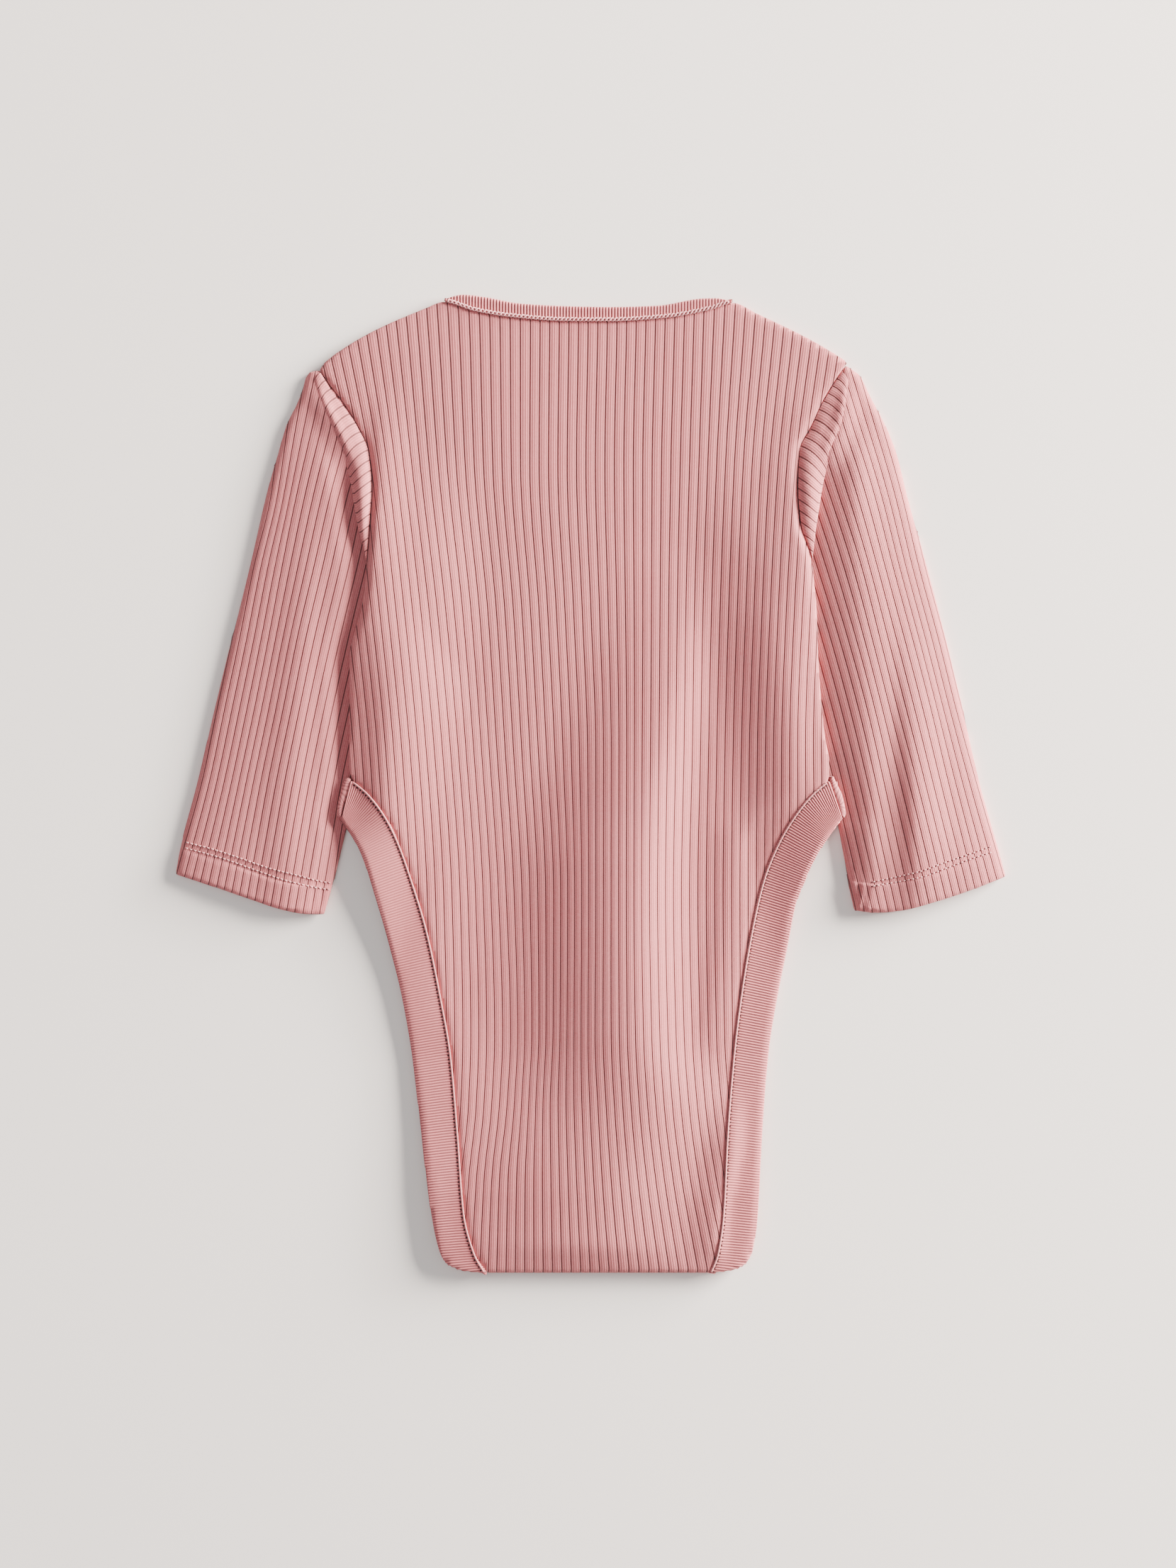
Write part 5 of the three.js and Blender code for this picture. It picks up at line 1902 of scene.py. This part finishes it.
    def pucker(self, x: np.ndarray, y: np.ndarray) -> np.ndarray:
        """Gives the height of the small folds at the cuff's end of the underarm seam.

        Args:
            x: Places across.
            y: Places along.

        Returns:
            The height at each place, in millimetres.
        """
        inner = np.abs(x) - np.abs(SLEEVE_INNER[self.side](y))
        hem = y - HEM_EDGE[self.side](x)
        turn = 2 * math.pi * (inner - self.pucker_slant * hem) / self.pucker_pitch
        grown, *fades = self.pucker_across
        reach = smooth(0, grown, inner) * (1 - smooth(*fades, inner))
        reach = reach * (1 - smooth(*self.pucker_along, hem))
        return self.pucker_rise[self.side.index] * (0.5 - 0.5 * np.cos(turn)) * reach

    def top(self, x: np.ndarray, y: np.ndarray) -> np.ndarray:
        """Gives the groove floors of the sleeve's upper layer.

        Args:
            x: Places across.
            y: Places along.

        Returns:
            The height at each place, in millimetres.
        """
        outer = np.abs(SLEEVE_OUTER[self.side](y)) - np.abs(x)
        hem = y - HEM_EDGE[self.side](x)
        low = self.floor_wall + self.hollow + CLOTH + self.relief(x, y)
        drop, run = self.edge_roll
        edge = drop * (1 - smooth(0, run, np.maximum(outer, 0)))
        return low + self.hem_rise * (1 - smooth(self.hem_depth - 1, self.hem_depth, hem)) - edge

    def inside(self, x: np.ndarray, y: np.ndarray) -> np.ndarray:
        """Gives the distance inside the sleeve's outline.

        Args:
            x: Places across.
            y: Places along.

        Returns:
            The distance at each place, below 0 outside.
        """
        sign = self.side.value
        outer = sign * (SLEEVE_OUTER[self.side](y) - x)
        seam = sign * (x - SIDES[self.side](y)) - HALF_GAP
        inner = sign * (x - SLEEVE_INNER[self.side](y))
        inner = np.where(y > ARMHOLE_Y, seam, inner)
        tip = self.tip[self.side.index]
        slope = (self.tip_fall - tip) / self.tip_span
        shoulder = slope * (np.abs(x) - self.tip_x[self.side.index]) + tip
        hem = y - HEM_EDGE[self.side](x)
        return np.minimum(np.minimum(outer, inner), np.minimum(hem, shoulder - y))

    def ridge_rise(self, y: np.ndarray) -> np.ndarray:
        """Gives the height of the fold edge over the armhole seam."""
        low, low_full, full, high = self.ridge_fades
        return self.ridge * (1 - smooth(full, high, y)) * smooth(low, low_full, y)

    def build(self) -> bpy.types.Object:
        """Makes the sleeve's upper layer, its strip and its lower layer.

        Returns:
            The piece.
        """
        sheet = Sheet()
        flip = self.side is Side.LEFT
        self._upper(sheet, flip)
        self._strip(sheet, flip)
        self._lower(sheet, flip)
        name = f"sleeve_{self.side.word}"
        piece = sheet.build(f"{name}_cloth", WIDE_KNIT, "rib_knit")
        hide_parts(name)
        self._hem()
        return piece

    def _hem(self) -> list[bpy.types.Object]:
        """Makes the two rows of stitches that hold the hem.

        Returns:
            The stitches and the painted shadows of their needle holes.
        """
        sheet = Sheet()
        holes = []
        for row in HEM_ROWS[self.side]:
            across = np.linspace(row.at[0], row.at[-1], 200)
            along = row(across)
            path = grid_of(across, along, self.top(across, along) + RIB_RISE - self.stitch_sink)
            holes.append(Thread(self.stitch_radius).stitches(sheet, path, *self.stitch))
        word = self.side.word
        thread = sheet.build(f"hem_stitches_{word}", THREAD, "rib_knit")
        # Painted shadows of the needle holes between the stitches, as small dark discs.
        hole_shadows = NeedleHoleShadows(self.hole_radius)
        name = f"hem_needle_holes_{word}"
        return [thread, hole_shadows.build(name, np.concatenate(holes), "rib_knit")]

    def _grid(self, shares: Sequence[float], rises: np.ndarray) -> tuple[np.ndarray, ...]:
        """Gives a grid that follows the ribs and the hem.

        Args:
            shares: Columns within each rib.
            rises: Rows, as heights above the hem.

        Returns:
            Groove numbers, x and y.
        """
        grooves = SLEEVE_GROOVES[self.side]
        counts, rise = np.meshgrid(rib_stations(*self.ribs, shares), rises)
        at_hem = grooves.across(counts, np.full(counts.shape, HEM_LEVEL))
        y = HEM_EDGE[self.side](at_hem) + rise
        return counts, grooves.across(counts, y), y

    def _upper(self, sheet: Sheet, flip: bool) -> None:
        """Adds the upper layer, ribbed, with closer rows at the edge and the end of the hem.

        Args:
            sheet: The sleeve being built.
            flip: Whether the faces turn the other way.
        """
        hem_rows = [np.linspace(*run) for run in self.hem_rows]
        main_rows = np.arange(self.main_row, self.length, self.row_step)
        counts, x, y = self._grid(self.shares, np.concatenate([*hem_rows, main_rows]))
        inside = self.inside(x, y)
        radius, depth = self.rim
        away = 1 - np.clip(inside / radius, 0, 1)
        z = self.top(x, y) + RIB_RISE * rib_profile(counts)
        z = z - depth * (1 - np.sqrt(np.clip(1 - away**2, 0, 1)))
        sheet.grid(grid_of(x, y, z), grid_of(counts, y), inside, SLEEVE_LIP, flip)

    def _lower(self, sheet: Sheet, flip: bool) -> None:
        """Adds the lower layer, flat on the floor.

        Args:
            sheet: The sleeve being built.
            flip: Whether the faces turn the other way.
        """
        rises = np.arange(self.hem_rows[0][0], self.length, 2 * self.row_step)
        counts, x, y = self._grid(self.floor_shares, rises)
        lift, depth = self.floor_face
        z = lift + depth * (1 - rib_profile(counts))
        inside = self.inside(x, y)
        sheet.grid(grid_of(x, y, z), grid_of(counts, y), inside, SLEEVE_FLOOR_LIP, not flip)

    def _strip(self, sheet: Sheet, flip: bool) -> None:
        """Adds the strip beside the armhole seam.

        Above, it rolls softly down into the sleeve, and its ribs bend into the direction of the
        sleeve's. Below, it is turned over along its fold edge.

        Args:
            sheet: The sleeve being built.
            flip: Whether the faces turn the other way.
        """
        ribs = round((self.strip_top - self.strip_low) / self.strip_pitch)
        counts = rib_stations(0, ribs, self.shares)
        fold_y = self.strip_top - self.strip_pitch * counts
        settle = smooth(*self.strip_settle, fold_y)
        seam, bend, end = self._strip_lines(fold_y, settle)
        share = np.array(self.strip_shares)
        weights = ((1 - share) ** 2, 2 * share * (1 - share), share**2)
        x, y = (
            sum(np.outer(at, part) for at, part in zip(track, weights))
            for track in zip(seam.T, bend.T, end.T)
        )
        settle = settle[:, None]
        lift = self.ridge_rise(fold_y)[:, None]
        seam_z = FORM.back_top(*seam.T)[:, None]
        arch, length = self.strip_arch
        turned = seam_z + lift * np.sin(math.pi * (arch + length * share))
        above, fall, fall_from = self.strip_over
        over = self.top(x, y) + above - fall * smooth(fall_from, 1, share)
        swell, swell_run = self.strip_swell
        rolled = seam_z + (over - seam_z) * smooth(*self.strip_blend, share)
        rolled = rolled + swell * lift * np.sin(math.pi * np.minimum(share / swell_run, 1))
        z = turned + (rolled - turned) * settle + RIB_RISE * rib_profile(counts)[:, None]
        drop, run = self.seam_roll
        z = z - drop * (1 - smooth(0, run, share))
        rows = [grid_of(x, y, z)]
        scale = (1 - settle) * lift / self.ridge
        deep = self.strip_least + (1 - self.strip_least) * scale
        for out, down in self.strip_edge:
            edge_x = x[:, -1:] + self.side.value * out * scale
            rows.append(grid_of(edge_x, y[:, -1:], z[:, -1:] - down * deep))
        points = np.concatenate(rows, 1)
        span = np.linalg.norm(np.diff(points, axis=1), axis=2)
        along = np.concatenate([np.zeros((len(points), 1)), np.cumsum(span, 1)], 1)
        places = grid_of(np.broadcast_to(counts[:, None], along.shape), along)
        sheet.grid(points, places, None, None, flip)

    def _strip_lines(self, fold_y: np.ndarray, settle: np.ndarray) -> tuple[np.ndarray, ...]:
        """Gives the three lines that the strip's columns follow.

        Args:
            fold_y: Each column's level at the fold edge.
            settle: How far each has settled into the sleeve, from 0 to 1.

        Returns:
            Each column's point at the seam, at its bend and at its end.
        """
        sign = self.side.value
        fold_x = RIDGE_EDGE[self.side](fold_y)
        seam_y = fold_y
        for _ in range(4):  # the seam's x and y settle together
            seam_x = SIDES[self.side](np.maximum(seam_y, self.seam_low)) + sign * HALF_GAP
            seam_y = fold_y + self.strip_slant * np.abs(fold_x - seam_x)
            seam_y = np.maximum(seam_y, self.seam_low)
        seam = grid_of(seam_x, seam_y)
        up = self.strip_bend * np.hypot(fold_x - seam_x, fold_y - seam_y) + self.strip_run
        out = sign * self.strip_lean
        run = self.strip_run * settle
        end = grid_of(fold_x + out * run, fold_y - run)
        bend = (seam + end) / 2
        bent = end + grid_of(-out * up, up)
        return seam, bend + (bent - bend) * settle[:, None], end


@dataclass
class Studs:
    """Caps of the closed press studs under the flap, in the solids' own shape.

    Attributes:
        places: The studs' places across.
    """

    places: tuple[str, ...] = ("left", "middle", "right")

    def dress(self) -> None:
        """Gives each stud's cap its painted finish."""
        finish = STUD_PAINT.material()
        for place in self.places:
            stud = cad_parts[f"press_stud_{place}"]
            stud.data.materials.clear()
            stud.data.materials.append(finish)
            LOG.info("press_stud_%s: painted", place)


@dataclass(frozen=True)
class Lamp:
    """An oblong soft light aimed at the middle of the floor.

    Attributes:
        name: The light's name.
        place: Its place in metres.
        size: Its width and height in metres.
        power: Its power in watts.
        colour: Its colour.
    """

    name: str
    place: tuple[float, float, float]
    size: tuple[float, float]
    power: float
    colour: str

    def build(self) -> None:
        """Adds the light."""
        lamp = bpy.data.lights.new(self.name, "AREA")
        lamp.shape = "RECTANGLE"
        lamp.size, lamp.size_y = self.size
        lamp.energy = self.power
        lamp.color = rgba(self.colour)[:3]
        light = bpy.data.objects.new(self.name, lamp)
        bpy.context.scene.collection.objects.link(light)
        light.location = self.place
        x, y, z = self.place
        tilt, heading = math.atan2(math.hypot(x, y), z), math.atan2(y, x)
        light.rotation_euler = (tilt, 0, heading + math.pi / 2)


@dataclass
class Studio:
    """A pale floor, a soft key light from the right, and a camera straight above.

    Attributes:
        centre: Where the camera looks, in millimetres.
        height: The camera's height in millimetres.
        view: How much of the floor's longer side it sees, in millimetres.
        sensor: The camera's sensor in millimetres.
        reach: How far the camera sees, in metres.
        floor_size: The floor's side in metres.
        floor_drop: How far it lies below the garment, in metres.
        sky: The colour of the light from all round, and its strength.
        lamps: The lights.
    """

    centre: tuple[float, float] = (-1.02, 0.34)
    height: float = 1600.0
    view: float = 753.9
    sensor: float = 36.0
    reach: float = 10.0
    floor_size: float = 6.0
    floor_drop: float = 0.0002
    sky: tuple[str, float] = ("#f4f2f0", 0.47)
    lamps: tuple[Lamp, ...] = (
        Lamp("key", (2.75, 1.25, 0.82), (2.0, 1.1), 790.0, "#fff7f0"),
        Lamp("low", (2.9, 1.3, 0.33), (2.0, 0.4), 350.0, "#fff7f0"),
        Lamp("fill", (-0.6, -0.2, 1.9), (1.6, 1.6), 14.0, "#f7f7ff"),
    )

    def build(self) -> None:
        """Makes the floor, the lights and the camera."""
        self._floor()
        for lamp in self.lamps:
            lamp.build()
        world = bpy.data.worlds.new("studio")
        world.use_nodes = True
        background = world.node_tree.nodes["Background"]
        colour, strength = self.sky
        background.inputs["Color"].default_value = rgba(colour)
        background.inputs["Strength"].default_value = strength
        bpy.context.scene.world = world
        lens = bpy.data.cameras.new("camera")
        lens.sensor_width = self.sensor
        lens.lens = self.sensor * self.height / self.view
        lens.clip_end = self.reach
        camera = bpy.data.objects.new("camera", lens)
        bpy.context.scene.collection.objects.link(camera)
        camera.location = (self.centre[0] * MM, self.centre[1] * MM, self.height * MM)
        bpy.context.scene.camera = camera

    def _floor(self) -> None:
        """Makes the floor, a plain painted board."""
        bpy.ops.object.select_all(action="DESELECT")
        place = (0, 0, -self.floor_drop)
        bpy.ops.mesh.primitive_plane_add(size=self.floor_size, location=place)
        floor = bpy.context.active_object
        floor.name = "floor"
        floor.data.materials.append(FLOOR_PAINT.material())


def main() -> None:
    """Builds the garment piece by piece, then the studio, and notes the sizes."""
    logging.basicConfig(level=logging.INFO, format="%(message)s")
    FrontPanel().build()
    BackPanel().build()
    NeckBand().build()
    for side in Side:
        Sleeve(side).build()
        LegBand(side).build()
        FrontLegBand(side).build()
    Studs().dress()
    Studio().build()


if __name__ == "__main__":
    main()
